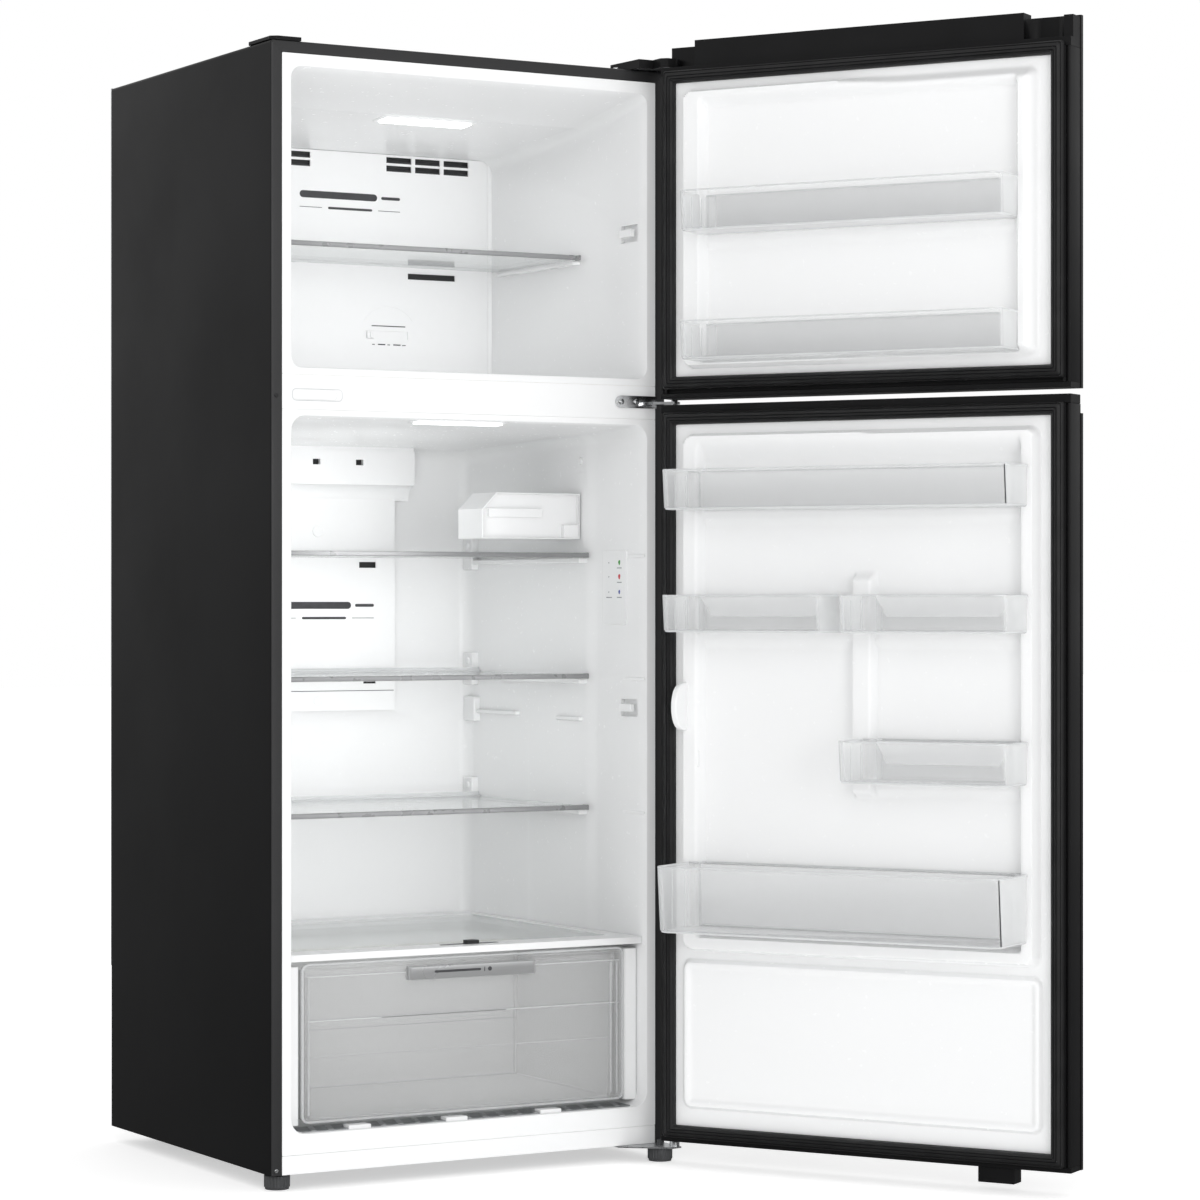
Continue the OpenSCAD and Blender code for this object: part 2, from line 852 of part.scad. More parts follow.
module rear_rollers() {
    color("#55585a")
        union() {
            for (s = [-1, 1])
                translate([s * roller_x - 11, roller_y, roller_r])
                    rotate([0, 90, 0])
                        cylinder(r = roller_r, h = 22);
            for (s = [-1, 1])
                translate([s * roller_x - 20, roller_y, roller_r])
                    rotate([0, 90, 0])
                        cylinder(r = axle_r, h = 40);
        }
}

// ---------------------------------------------------------------- doors

// The outer panel of a door, a sheet-metal tray with rounded front edges that is
// open at the back up to the height fill
module door_panel(z0, z1, fill) {
    r = 5;
    difference() {
        translate([0, 0, z0])
            linear_extrude(z1 - z0) {
                translate([-half_w, panel_front + r])
                    square([cab_w, panel_back - panel_front - r]);
                translate([-half_w + r, panel_front])
                    square([cab_w - 2 * r, r + 1]);
                for (s = [-1, 1])
                    translate([s * (half_w - r), panel_front + r])
                        circle(r = r);
            }
        block([-half_w + 5, panel_front + 1.6, z0 + 1.6], [half_w - 5, panel_back + 1, fill]);
    }
}

// The foam-filled body of a door, which also fills the tray of the outer panel and
// is cleared around the hinge pins
module door_body(z0, z1, fill) {
    difference() {
        union() {
            block([-half_w + 1, panel_back + gap, z0], [half_w - 1, body_back, z1]);
            block([-half_w + 5 + gap, panel_front + 1.6 + gap, z0],
                [half_w - 5 - gap, panel_back + 1, fill - gap]);
        }
        post([pivot_x, pivot_y, z0 - 1], hinge_clear_r, 26);
        post([pivot_x, pivot_y, z1 - 24], hinge_clear_r, 30);
    }
}

// A door's moulded liner: a flange with a raised border
module door_liner(z0, z1, dike_low, dike_high, low_bar) {
    edge = 6;
    r = 18;
    difference() {
        union() {
            upright(body_back + gap, flange_y)
                round_rect([-half_w + edge, z0 + edge], [half_w - edge, z1 - edge], 6);
            upright(flange_y - 1, dike_y)
                round_rect([-dike_out, dike_low], [dike_out, dike_high], r);
        }
        upright(flange_y, dike_y + 1)
            round_rect([-dike_in, dike_low + low_bar], [dike_in, dike_high - 25], r - 6);
    }
}

// A door's magnetic gasket
module door_gasket(z0, z1) {
    inner = gasket_out + gasket_wide;
    difference() {
        upright(flange_y + gap, gasket_y)
            round_rect([-half_w + gasket_out, z0 + gasket_out], [half_w - gasket_out, z1 - gasket_out], 4);
        upright(flange_y, gasket_y + 1)
            round_rect([-half_w + inner, z0 + inner], [half_w - inner, z1 - inner], 4);
    }
}

// An open bin; its back part reaches between the raised borders of the liner
module door_bin(x0, x1, back, front, z0, z1, tuck_low, tuck_high) {
    r = 18;
    w = bin_wall;
    difference() {
        translate([0, 0, z0])
            linear_extrude(z1 - z0) {
                translate([x0, back])
                    square([x1 - x0, front - back - r]);
                round_rect([x0, front - 3 * r], [x1, front], r);
                translate([tuck_low, -12.5])
                    square([tuck_high - tuck_low, back + 13]);
            }
        translate([0, 0, z0 + w])
            linear_extrude(z1 - z0) {
                translate([x0 + w, back + w])
                    square([x1 - x0 - 2 * w, front - back - r - w]);
                round_rect([x0 + w, front - 3 * r], [x1 - w, front - w], r - w);
                translate([tuck_low + w, -12.5 + w])
                    square([tuck_high - tuck_low - 2 * w, back + 14]);
            }
    }
}

module freezer_door_panel() {
    color("#18191b")
        swung()
            door_panel(fz_door_low, fascia_high, fz_door_high - cap_high - gap);
}

module freezer_door_body() {
    color("#1f2022")
        swung()
            door_body(fz_door_low + cap_low + gap, fz_door_high - cap_high - gap, fz_door_high - cap_high - gap);
}

module freezer_door_liner() {
    color("#f4f5f5")
        swung()
            door_liner(fz_door_low, fz_door_high, 1267, 1709, 7);
}

module freezer_door_gasket() {
    color("#101112")
        swung()
            door_gasket(fz_door_low + 4, fz_door_high + 3);
}

// One end cap of a door, with the bore for a hinge pin
module door_cap(z0, z1) {
    difference() {
        block([-half_w + 1, panel_back + gap, z0], [half_w - 1, body_back, z1]);
        post([pivot_x, pivot_y, z0 - 1], bore_r, z1 - z0 + 2);
    }
}

// The raised housing on top of the freezer door, with a finger recess at its lower free end
module door_hump() {
    right = 293;
    left = -269;
    z0 = fz_door_high - 1;
    block([left, panel_back + gap, z0], [right, -25, fascia_high + 5]);
    difference() {
        block([-half_w + 1, panel_back + gap, z0], [left + 1, -25, fascia_high - 3]);
        translate([0, 0, z0 - 1])
            linear_extrude(60)
                round_rect([left - 65, panel_back + 5], [left, 20], 18);
    }
}

// Caps at both ends of the freezer door, the upper one with its raised housing
module freezer_door_cap() {
    color("#1a1b1d")
        swung() {
            door_cap(fz_door_high - cap_high, fz_door_high);
            door_cap(fz_door_low, fz_door_low + cap_low);
            door_hump();
        }
}

module freezer_bin_upper() {
    color("#e3e9ea")
        swung()
            door_bin(-272, 272, -12.5, 79, 1478, 1541, -272, 272);
}

module freezer_bin_lower() {
    color("#e3e9ea")
        swung()
            door_bin(-272, 272, -12.5, 79, 1277, 1337, -272, 272);
}

module fridge_door_panel() {
    color("#18191b")
        swung()
            door_panel(fr_door_low, fr_fascia_high, fr_fascia_high - 1.6);
}

module fridge_door_body() {
    color("#1f2022")
        swung()
            door_body(fr_door_low + cap_low + gap, fr_door_high - cap_high - gap, fr_fascia_high - 1.6);
}

module fridge_door_liner() {
    post_z = [590, 945];
    color("#f4f5f5")
        swung()
            union() {
                door_liner(fr_door_low, fr_door_high, 90, 1164, 20);
                block([-32, flange_y - 1, post_z[0]], [8, dike_y, post_z[1]]);
                block([-dike_out, flange_y - 1, 344], [dike_out, dike_y, 368]);
                block([290, dike_y - 1, 697], [302, 44, 766]);
            }
}

module fridge_door_gasket() {
    color("#101112")
        swung()
            door_gasket(fr_door_low - 2, fr_door_high - 2);
}

// Caps at the top and bottom ends of the fridge door, which carry the hinge bores
module fridge_door_cap() {
    color("#1a1b1d")
        swung() {
            door_cap(fr_door_high - cap_high, fr_door_high);
            door_cap(fr_door_low, fr_door_low + cap_low);
        }
}

module fridge_door_block() {
    color("#151617")
        swung()
            block([-256, -48, fr_door_low - 24], [-196, -20, fr_door_low - gap]);
}

module fridge_bin_top() {
    color("#e3e9ea")
        swung()
            door_bin(-289, 289, 7, 105, 1041, 1104, -270, 270);
}

module fridge_bin_middle_hinge() {
    color("#e3e9ea")
        swung()
            door_bin(20, 289, 7, 105, 850, 908, 20, 270);
}

module fridge_bin_middle_grip() {
    color("#e3e9ea")
        swung()
            door_bin(-289, -14, 7, 105, 850, 908, -270, -38);
}

module fridge_bin_low() {
    color("#e3e9ea")
        swung()
            door_bin(-289, -14, 7, 105, 621, 686, -270, -38);
}

module fridge_bin_bottom() {
    color("#e3e9ea")
        swung()
            door_bin(-288, 288, 7, 124, 382, 486, -270, 270);
}

cabinet_shell();
back_panel();
insulation();
freezer_liner();
fridge_liner();
mullion_rail();
kick_plate();
base_frame();
compressor();
bay_cover();
cord_gland();
evaporator();
freezer_air_panel();
fridge_air_duct();
interior_lamps();
top_hinge();
top_hinge_cover();
blank_hinge_cover();
middle_hinge();
bottom_hinge();
hinge_screws();
fan_rotor();
freezer_temp_slider();
freezer_shelf();
freezer_shelf_trim();
fridge_shelf_upper();
fridge_shelf_upper_trim();
fridge_shelf_middle();
fridge_shelf_middle_trim();
fridge_shelf_lower();
fridge_shelf_lower_trim();
crisper_cover_frame();
crisper_cover_glass();
humidity_slider();
crisper_drawer();
crisper_handle();
side_rack();
freezer_door_switch();
fridge_door_switch();
foot_left();
foot_right();
rear_rollers();
freezer_door_panel();
freezer_door_body();
freezer_door_liner();
freezer_door_gasket();
freezer_door_cap();
freezer_bin_upper();
freezer_bin_lower();
fridge_door_panel();
fridge_door_body();
fridge_door_liner();
fridge_door_gasket();
fridge_door_cap();
fridge_door_block();
fridge_bin_top();
fridge_bin_middle_hinge();
fridge_bin_middle_grip();
fridge_bin_low();
fridge_bin_bottom();
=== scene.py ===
"""Looks of the top freezer refrigerator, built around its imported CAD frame.

Lengths in this script are millimetres, and piece() turns a finished mesh into metres.
Lamps and the camera are placed in metres.
+X is the viewer's right, +Y the back and +Z up. Door pieces are drawn with their door
closed, and door_turn() carries them to where the door stands at rest.
"""
import json
import math

import bmesh
import bpy
from mathutils import Matrix, Vector


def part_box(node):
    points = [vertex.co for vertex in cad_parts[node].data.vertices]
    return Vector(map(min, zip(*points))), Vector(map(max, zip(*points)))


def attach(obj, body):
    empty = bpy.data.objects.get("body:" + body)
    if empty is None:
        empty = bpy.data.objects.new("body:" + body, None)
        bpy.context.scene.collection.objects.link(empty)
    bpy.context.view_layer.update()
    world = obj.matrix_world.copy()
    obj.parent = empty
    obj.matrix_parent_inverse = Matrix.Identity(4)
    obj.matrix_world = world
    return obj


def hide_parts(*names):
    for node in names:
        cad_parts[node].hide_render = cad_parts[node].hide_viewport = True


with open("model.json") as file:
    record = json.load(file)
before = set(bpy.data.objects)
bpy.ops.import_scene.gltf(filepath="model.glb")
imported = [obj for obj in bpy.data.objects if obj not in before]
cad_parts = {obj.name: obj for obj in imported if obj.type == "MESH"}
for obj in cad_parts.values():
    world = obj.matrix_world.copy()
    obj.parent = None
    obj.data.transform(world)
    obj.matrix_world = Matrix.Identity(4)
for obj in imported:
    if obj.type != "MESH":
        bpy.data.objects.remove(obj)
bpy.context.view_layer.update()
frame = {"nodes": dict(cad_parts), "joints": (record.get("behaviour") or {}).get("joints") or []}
scene = bpy.context.scene

# ---------------------------------------------------------------- camera and studio

CAMERA_PLACE = (-2.7131, -5.0298, 0.9001)
CAMERA_HEADING = -30.32
LENS = 109.4
LIGHT_FROM_BELOW = 0.12
LIGHT_FROM_ABOVE = 0.7
GLOW_SPREAD = 100  # degrees


def add_camera():
    """The camera at the photograph's viewing angle, fitted to the cabinet's corners."""
    data = bpy.data.cameras.new("camera")
    data.lens = LENS
    data.sensor_width = 36
    data.clip_end = 100
    camera = bpy.data.objects.new("camera", data)
    camera.location = CAMERA_PLACE
    camera.rotation_euler = (math.radians(90), 0, math.radians(CAMERA_HEADING))
    scene.collection.objects.link(camera)
    bpy.context.scene.camera = camera


def add_lamp(name, place, target, size, watts):
    """A soft box that points at a target; size is its width and height."""
    data = bpy.data.lights.new(name, "AREA")
    data.shape = "RECTANGLE"
    data.size, data.size_y = size
    data.energy = watts
    lamp = bpy.data.objects.new(name, data)
    lamp.location = place
    aim = Vector(target) - Vector(place)
    lamp.rotation_euler = aim.to_track_quat("-Z", "Y").to_euler()
    lamp.visible_camera = False
    scene.collection.objects.link(lamp)
    return lamp


def add_world():
    """White behind the object; the light on it is soft and comes from above more than below."""
    world = bpy.data.worlds.new("studio")
    scene.world = world
    world.use_nodes = True
    nodes, links = world.node_tree.nodes, world.node_tree.links
    seen = nodes["Background"]
    seen.inputs["Color"].default_value = (1, 1, 1, 1)
    split = nodes.new("ShaderNodeSeparateXYZ")
    links.new(nodes.new("ShaderNodeTexCoord").outputs["Generated"], split.inputs[0])
    rise = nodes.new("ShaderNodeMapRange")
    rise.interpolation_type = "SMOOTHSTEP"
    ends = (-0.2, 0.3, LIGHT_FROM_BELOW, LIGHT_FROM_ABOVE)
    for socket, value in zip(("From Min", "From Max", "To Min", "To Max"), ends):
        rise.inputs[socket].default_value = value
    links.new(split.outputs["Z"], rise.inputs["Value"])
    lit = nodes.new("ShaderNodeBackground")
    lit.inputs["Color"].default_value = (1, 1, 1, 1)
    links.new(rise.outputs[0], lit.inputs["Strength"])
    mix = nodes.new("ShaderNodeMixShader")
    links.new(nodes.new("ShaderNodeLightPath").outputs["Is Camera Ray"], mix.inputs[0])
    links.new(lit.outputs[0], mix.inputs[1])
    links.new(seen.outputs[0], mix.inputs[2])
    links.new(mix.outputs[0], nodes["World Output"].inputs["Surface"])


def add_floor():
    """A pale studio floor, gently mottled."""
    mesh = bpy.data.meshes.new("studio_floor")
    side = 30
    mesh.from_pydata([(-side, -side, 0), (side, -side, 0), (side, side, 0), (-side, side, 0)], [], [(0, 1, 2, 3)])
    floor = bpy.data.objects.new("studio_floor", mesh)
    floor.location.z = -0.0004
    floor.visible_glossy = False
    scene.collection.objects.link(floor)
    mesh.materials.append(material("studio_floor", (0.93, 0.93, 0.93), 0.75, mottle=(2, 0.01), bumps=((60, 0.02),),
                                   Emission_Color=(1, 1, 1, 1), Emission_Strength=0.5))


# ---------------------------------------------------------------- materials

def material(name, tone, rough, metal=0.0, mottle=(7, 0.04), polish=(12, 0.05), bumps=((500, 0.02),),
             grain=(1, 1, 1), alpha=None, **sockets):
    """A procedural surface.

    mottle varies the tone, polish the roughness, each as (scale, amount), and every bump is
    (scale, height in mm). grain stretches the finest bump, as on brushed metal. alpha is
    (face on, edge on) for a see-through surface. Other names set the shader's own sockets.
    """
    mat = bpy.data.materials.new(name)
    mat.use_nodes = True
    nodes, links = mat.node_tree.nodes, mat.node_tree.links
    shader = nodes["Principled BSDF"]
    place = nodes.new("ShaderNodeTexCoord").outputs["Object"]

    def noise(scale, detail, stretch=(1, 1, 1)):
        node = nodes.new("ShaderNodeTexNoise")
        node.inputs["Scale"].default_value = scale
        node.inputs["Detail"].default_value = detail
        source = place
        if stretch != (1, 1, 1):
            mapping = nodes.new("ShaderNodeMapping")
            mapping.inputs["Scale"].default_value = stretch
            links.new(place, mapping.inputs["Vector"])
            source = mapping.outputs[0]
        links.new(source, node.inputs["Vector"])
        return node.outputs["Fac"]

    def spread(source, low, high, start=0.3, stop=0.7):
        node = nodes.new("ShaderNodeMapRange")
        for socket, value in zip(("From Min", "From Max", "To Min", "To Max"), (start, stop, low, high)):
            node.inputs[socket].default_value = value
        links.new(source, node.inputs["Value"])
        return node.outputs[0]

    blend = nodes.new("ShaderNodeMix")
    blend.data_type = "RGBA"
    dark = [c * (1 - mottle[1]) for c in tone]
    light = [min(c * (1 + mottle[1]), 1) for c in tone]
    blend.inputs["A"].default_value = (*dark, 1)
    blend.inputs["B"].default_value = (*light, 1)
    links.new(spread(noise(mottle[0], 5, grain), 0, 1), blend.inputs["Factor"])
    links.new(blend.outputs["Result"], shader.inputs["Base Color"])
    shader.inputs["Metallic"].default_value = metal
    low, high = max(rough - polish[1], 0.02), min(rough + polish[1], 1)
    links.new(spread(noise(polish[0], 4), low, high), shader.inputs["Roughness"])
    normal = None
    for scale, height in bumps:
        bump = nodes.new("ShaderNodeBump")
        bump.inputs["Strength"].default_value = 1.0
        bump.inputs["Distance"].default_value = height * 0.001
        links.new(noise(scale, 3, grain), bump.inputs["Height"])
        if normal:
            links.new(normal, bump.inputs["Normal"])
        normal = bump.outputs[0]
    if normal:
        links.new(normal, shader.inputs["Normal"])
    if alpha:
        tilt = nodes.new("ShaderNodeLayerWeight")
        tilt.inputs["Blend"].default_value = 0.5
        links.new(spread(tilt.outputs["Facing"], alpha[0], alpha[1], 0.15, 1.0), shader.inputs["Alpha"])
    for socket, value in sockets.items():
        shader.inputs[socket.replace("_", " ")].default_value = value
    return mat


def make_materials():
    """Every material the pieces use, kept by name."""
    made = {}

    def slot(name, *rest, **more):
        made[name] = material(name, *rest, **more)

    slot("cabinet_black", (0.005, 0.005, 0.0055), 0.36, mottle=(3, 0.15), polish=(5, 0.05),
         bumps=((900, 0.01), (90, 0.02)), Specular_IOR_Level=0.16)
    # The cabinet's black paint again, lighter and glossier: painted light for the flange's front, which faces the
    # lamps.
    slot("front_lit_black", (0.02, 0.02, 0.021), 0.4, mottle=(3, 0.15), polish=(5, 0.05),
         bumps=((900, 0.01),), Specular_IOR_Level=0.45)
    slot("door_black", (0.006, 0.006, 0.0065), 0.33, mottle=(4, 0.15), polish=(6, 0.05),
         bumps=((900, 0.01), (120, 0.015)), Specular_IOR_Level=0.22)
    slot("cap_black", (0.006, 0.006, 0.0065), 0.4, mottle=(10, 0.15), bumps=((1500, 0.02),), Specular_IOR_Level=0.2)
    slot("gasket_black", (0.012, 0.012, 0.0125), 0.5, mottle=(20, 0.2), polish=(30, 0.08),
         bumps=((1200, 0.02), (60, 0.02)), Specular_IOR_Level=0.3)
    slot("liner_white", (0.885, 0.89, 0.893), 0.27, mottle=(90, 0.0015), polish=(120, 0.004),
         bumps=((14, 0.003), (500, 0.0015)), Specular_IOR_Level=0.45)
    slot("trim_white", (0.885, 0.89, 0.893), 0.32, mottle=(90, 0.0025), polish=(120, 0.006),
         bumps=((30, 0.002), (600, 0.002)), Specular_IOR_Level=0.45)
    slot("clear_plastic", (0.9, 0.91, 0.915), 0.1, mottle=(5, 0.01), polish=(9, 0.03),
         bumps=((12, 0.006),), alpha=(0.08, 0.8), Specular_IOR_Level=0.7)
    slot("drawer_plastic", (0.84, 0.845, 0.845), 0.14, mottle=(3, 0.03), polish=(9, 0.04),
         bumps=((10, 0.005),), alpha=(0.13, 0.8), Specular_IOR_Level=0.7)
    slot("shelf_glass", (0.84, 0.87, 0.865), 0.05, mottle=(3, 0.02), polish=(6, 0.02),
         bumps=((4, 0.001),), alpha=(0.1, 0.6), Specular_IOR_Level=0.6)
    slot("shelf_trim", (0.27, 0.273, 0.277), 0.3, metal=0.35, mottle=(30, 0.05), polish=(40, 0.04),
         bumps=((900, 0.004),), grain=(0.05, 1, 1))
    slot("lamp_lens", (0.97, 0.98, 1.0), 0.35, mottle=(40, 0.01), bumps=((350, 0.08),),
         Emission_Color=(1, 1, 1, 1), Emission_Strength=1.1)
    slot("hinge_chrome", (0.62, 0.63, 0.64), 0.16, metal=1.0, mottle=(60, 0.1), polish=(50, 0.08), bumps=((700, 0.02),))
    slot("zinc_steel", (0.55, 0.56, 0.57), 0.34, metal=1.0, mottle=(90, 0.18), polish=(70, 0.1), bumps=((400, 0.03),))
    slot("base_steel", (0.36, 0.37, 0.38), 0.42, metal=1.0, mottle=(45, 0.2), polish=(30, 0.1), bumps=((300, 0.04),))
    slot("back_steel", (0.5, 0.51, 0.52), 0.42, metal=0.9, mottle=(35, 0.12), polish=(20, 0.08), bumps=((200, 0.05),))
    slot("foam", (0.82, 0.74, 0.5), 0.85, mottle=(40, 0.1), bumps=((160, 0.6), (30, 0.8)))
    slot("door_core", (0.007, 0.007, 0.0075), 0.4, mottle=(6, 0.15), polish=(9, 0.05),
         bumps=((1500, 0.015),), Specular_IOR_Level=0.25)
    slot("foot_grey", (0.055, 0.057, 0.06), 0.5, mottle=(60, 0.15), bumps=((800, 0.05),))
    slot("black_plastic", (0.012, 0.012, 0.013), 0.4, mottle=(40, 0.2), bumps=((1200, 0.04),))
    slot("compressor_black", (0.018, 0.018, 0.019), 0.3, mottle=(14, 0.3), bumps=((220, 0.15),), Coat_Weight=0.3)
    slot("fin_aluminium", (0.72, 0.73, 0.74), 0.35, metal=1.0, mottle=(50, 0.08), bumps=((300, 0.03),))
    # A pale see-through sheet near each bin's back: painted shade for the grey seen behind the bin's front.
    slot("painted_bin_shade", (0.88, 0.885, 0.89), 0.4, mottle=(60, 0.01), bumps=((400, 0.004),), alpha=(0.3, 0.55))
    slot("handle_metal", (0.46, 0.465, 0.47), 0.3, metal=0.5, mottle=(25, 0.12), bumps=((700, 0.01),),
         grain=(0.04, 1, 1))
    slot("rim_plastic", (0.8, 0.81, 0.82), 0.14, mottle=(9, 0.02), bumps=((40, 0.03),), alpha=(0.55, 0.95),
         Specular_IOR_Level=0.8)
    for ink, tone, mottle in (("grey", (0.05, 0.05, 0.055), (90, 0.1)), ("green", (0.03, 0.3, 0.02), (200, 0.15)),
                              ("red", (0.55, 0.02, 0.03), (200, 0.15)), ("blue", (0.05, 0.08, 0.35), (200, 0.15))):
        slot("print_" + ink, tone, 0.5, mottle=mottle, bumps=((1200, 0.01),))
    return made


# ---------------------------------------------------------------- shapes

HINGES = {j["child"]: j for j in frame["joints"] if j["type"] == "hinge" and "door" in j["child"]}


def door_turn(body):
    """How a door's closed shape is carried to where the door stands at rest, in millimetres."""
    joint = HINGES[body]
    at = Vector(joint["pos_m"]) * 1000
    open_by = math.radians(-joint["range_deg"][0])
    return Matrix.Translation(at) @ Matrix.Rotation(open_by, 4, "Z") @ Matrix.Translation(-at)


def span(node, turn=None):
    """A CAD node's lowest and highest corners in millimetres, or those of its closed shape."""
    if turn is None:
        low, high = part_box(node)
        return low * 1000, high * 1000
    back = turn.inverted()
    points = [back @ (v.co * 1000) for v in frame["nodes"][node].data.vertices]
    return (Vector([min(p[i] for p in points) for i in range(3)]),
            Vector([max(p[i] for p in points) for i in range(3)]))


def arc(cx, cz, r, start, sweep, steps):
    """Points of a round stretch; start and sweep are in degrees."""
    angles = [math.radians(start + sweep * i / steps) for i in range(steps + 1)]
    return [(cx + r * math.cos(a), cz + r * math.sin(a)) for a in angles]


def rounded(x0, z0, x1, z1, r, steps=6):
    """A rectangle with rounded corners, anticlockwise from its lower right corner."""
    return (arc(x1 - r, z0 + r, r, -90, 90, steps) + arc(x1 - r, z1 - r, r, 0, 90, steps)
            + arc(x0 + r, z1 - r, r, 90, 90, steps) + arc(x0 + r, z0 + r, r, 180, 90, steps))


def upright_ring(outline, y):
    """An outline in x and z, placed at a depth."""
    return [(x, y, z) for x, z in outline]


def flat_ring(outline, z):
    """An outline in x and y, placed at a height."""
    return [(x, y, z) for x, y in outline]


def loft(bm, rings, ends=True, loop=False):
    """A skin over rings of equally many points, closed at both ends or joined into a loop."""
    rows = [[bm.verts.new(p) for p in ring] for ring in rings]
    pairs = list(zip(rows, rows[1:]))
    if loop:
        pairs.append((rows[-1], rows[0]))
    count = len(rows[0])
    for a, b in pairs:
        for i in range(count):
            j = (i + 1) % count
            bm.faces.new((a[i], a[j], b[j], b[i]))
    if ends and not loop:
        bm.faces.new(rows[0][::-1])
        bm.faces.new(rows[-1])
    return rows


PLACE = {"x": lambda u, v, t: (t, u, v), "y": lambda u, v, t: (u, t, v), "z": lambda u, v, t: (u, v, t)}


def prism(bm, outline, low, high, axis):
    """A straight solid whose outline is drawn across x, y or z."""
    place = PLACE[axis]
    loft(bm, [[place(*p, t) for p in outline] for t in (low, high)])


def block(bm, low, high):
    """A box between two corners."""
    prism(bm, [(low[0], low[1]), (high[0], low[1]), (high[0], high[1]), (low[0], high[1])], low[2], high[2], "z")


def disc(bm, centre, r, low, high, axis, steps=32):
    """A round bar along an axis."""
    prism(bm, arc(*centre, r, 0, 360, steps)[:-1], low, high, axis)


def dome(bm, centre, profile, axis, steps=40):
    """A turned solid: profile is (radius, place along the axis) from one end to the other."""
    place = PLACE[axis]
    loft(bm, [[place(*p, t) for p in arc(*centre, r, 0, 360, steps)[:-1]] for r, t in profile])


def piece(name, body, look, bm, turn=None, edge=0.0, segments=2, smooth=35, replaces=()):
    """Turns a mesh into a named piece on a body, with rounded edges and smooth shading."""
    if turn:
        bmesh.ops.transform(bm, matrix=turn, verts=bm.verts)
    bmesh.ops.recalc_face_normals(bm, faces=bm.faces)
    bmesh.ops.scale(bm, vec=(0.001, 0.001, 0.001), verts=bm.verts)
    mesh = bpy.data.meshes.new(name)
    bm.to_mesh(mesh)
    bm.free()
    mesh.shade_smooth()
    mesh.set_sharp_from_angle(angle=math.radians(smooth))
    obj = bpy.data.objects.new(name, mesh)
    scene.collection.objects.link(obj)
    mesh.materials.append(LOOKS[look])
    if edge:
        round_edges(obj, edge, segments)
    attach(obj, body)
    if replaces:
        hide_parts(*replaces)
    return obj


def round_edges(obj, edge, segments=2):
    """Bevels the sharp edges of an object."""
    bevel = obj.modifiers.new("edges", "BEVEL")
    bevel.width = edge * 0.001
    bevel.segments = segments
    bevel.limit_method = "ANGLE"
    bevel.angle_limit = math.radians(32)
    bevel.harden_normals = True
    bevel.use_clamp_overlap = True


def dress(node, look, edge=0.0, segments=2):
    """Gives a CAD node that stays in view its material and slightly rounded edges."""
    obj = frame["nodes"][node]
    obj.data.materials.clear()
    obj.data.materials.append(LOOKS[look])
    if edge:
        weld = obj.modifiers.new("weld", "WELD")
        weld.merge_threshold = 0.00002
        round_edges(obj, edge, segments)


def clamp(value, low=0.0, high=1.0):
    """A value held between two ends."""
    return max(low, min(high, value))


def ease(value):
    """A smooth step from 0 to 1."""
    t = clamp(value)
    return t * t * (3 - 2 * t)


def depth_inside(x, z, box, r):
    """How far a point lies inside a rounded rectangle; negative outside."""
    qx = abs(x - (box[0] + box[2]) / 2) - (box[2] - box[0]) / 2 + r
    qz = abs(z - (box[1] + box[3]) / 2) - (box[3] - box[1]) / 2 + r
    return r - math.hypot(max(qx, 0), max(qz, 0)) - min(max(qx, qz), 0)


def grid_lines(low, high, edges, fine=2.5, reach=25, coarse=45):
    """Places of grid lines between two ends: close together near edges, far apart elsewhere."""
    marks = {low, high}
    for e in edges:
        steps = int(reach / fine)
        marks.update(e + i * fine for i in range(-steps, steps + 1) if low < e + i * fine < high)
    marks.update(low + i * coarse for i in range(1, int((high - low) / coarse)))
    lines = [low]
    for m in sorted(marks)[1:]:
        if m - lines[-1] > fine * 0.6:
            lines.append(m)
    lines[-1] = high
    return lines


def moulded_sheet(bm, xs, zs, height, back):
    """A closed sheet in the x-z plane whose front is the surface y = height(x, z)."""
    front = [[bm.verts.new((x, height(x, z), z)) for x in xs] for z in zs]
    for low, high in zip(front, front[1:]):
        for i in range(len(xs) - 1):
            bm.faces.new((low[i], low[i + 1], high[i + 1], high[i]))
    rim = front[0] + [row[-1] for row in front[1:-1]] + front[-1][::-1] + [row[0] for row in front[-2:0:-1]]
    rear = [bm.verts.new((v.co.x, back, v.co.z)) for v in rim]
    for i in range(len(rim)):
        j = (i + 1) % len(rim)
        bm.faces.new((rim[i], rear[i], rear[j], rim[j]))
    bm.faces.new(rear)


# ---------------------------------------------------------------- cabinet

SHEET = 1.4
FLANGE = 18.5


def arch(half, foot, top, r, steps=8):
    """An inverted U with rounded upper corners, from its left foot to its right foot."""
    return [(-half, foot), *arc(r - half, top - r, r, 180, -90, steps),
            *arc(half - r, top - r, r, 90, -90, steps), (half, foot)]


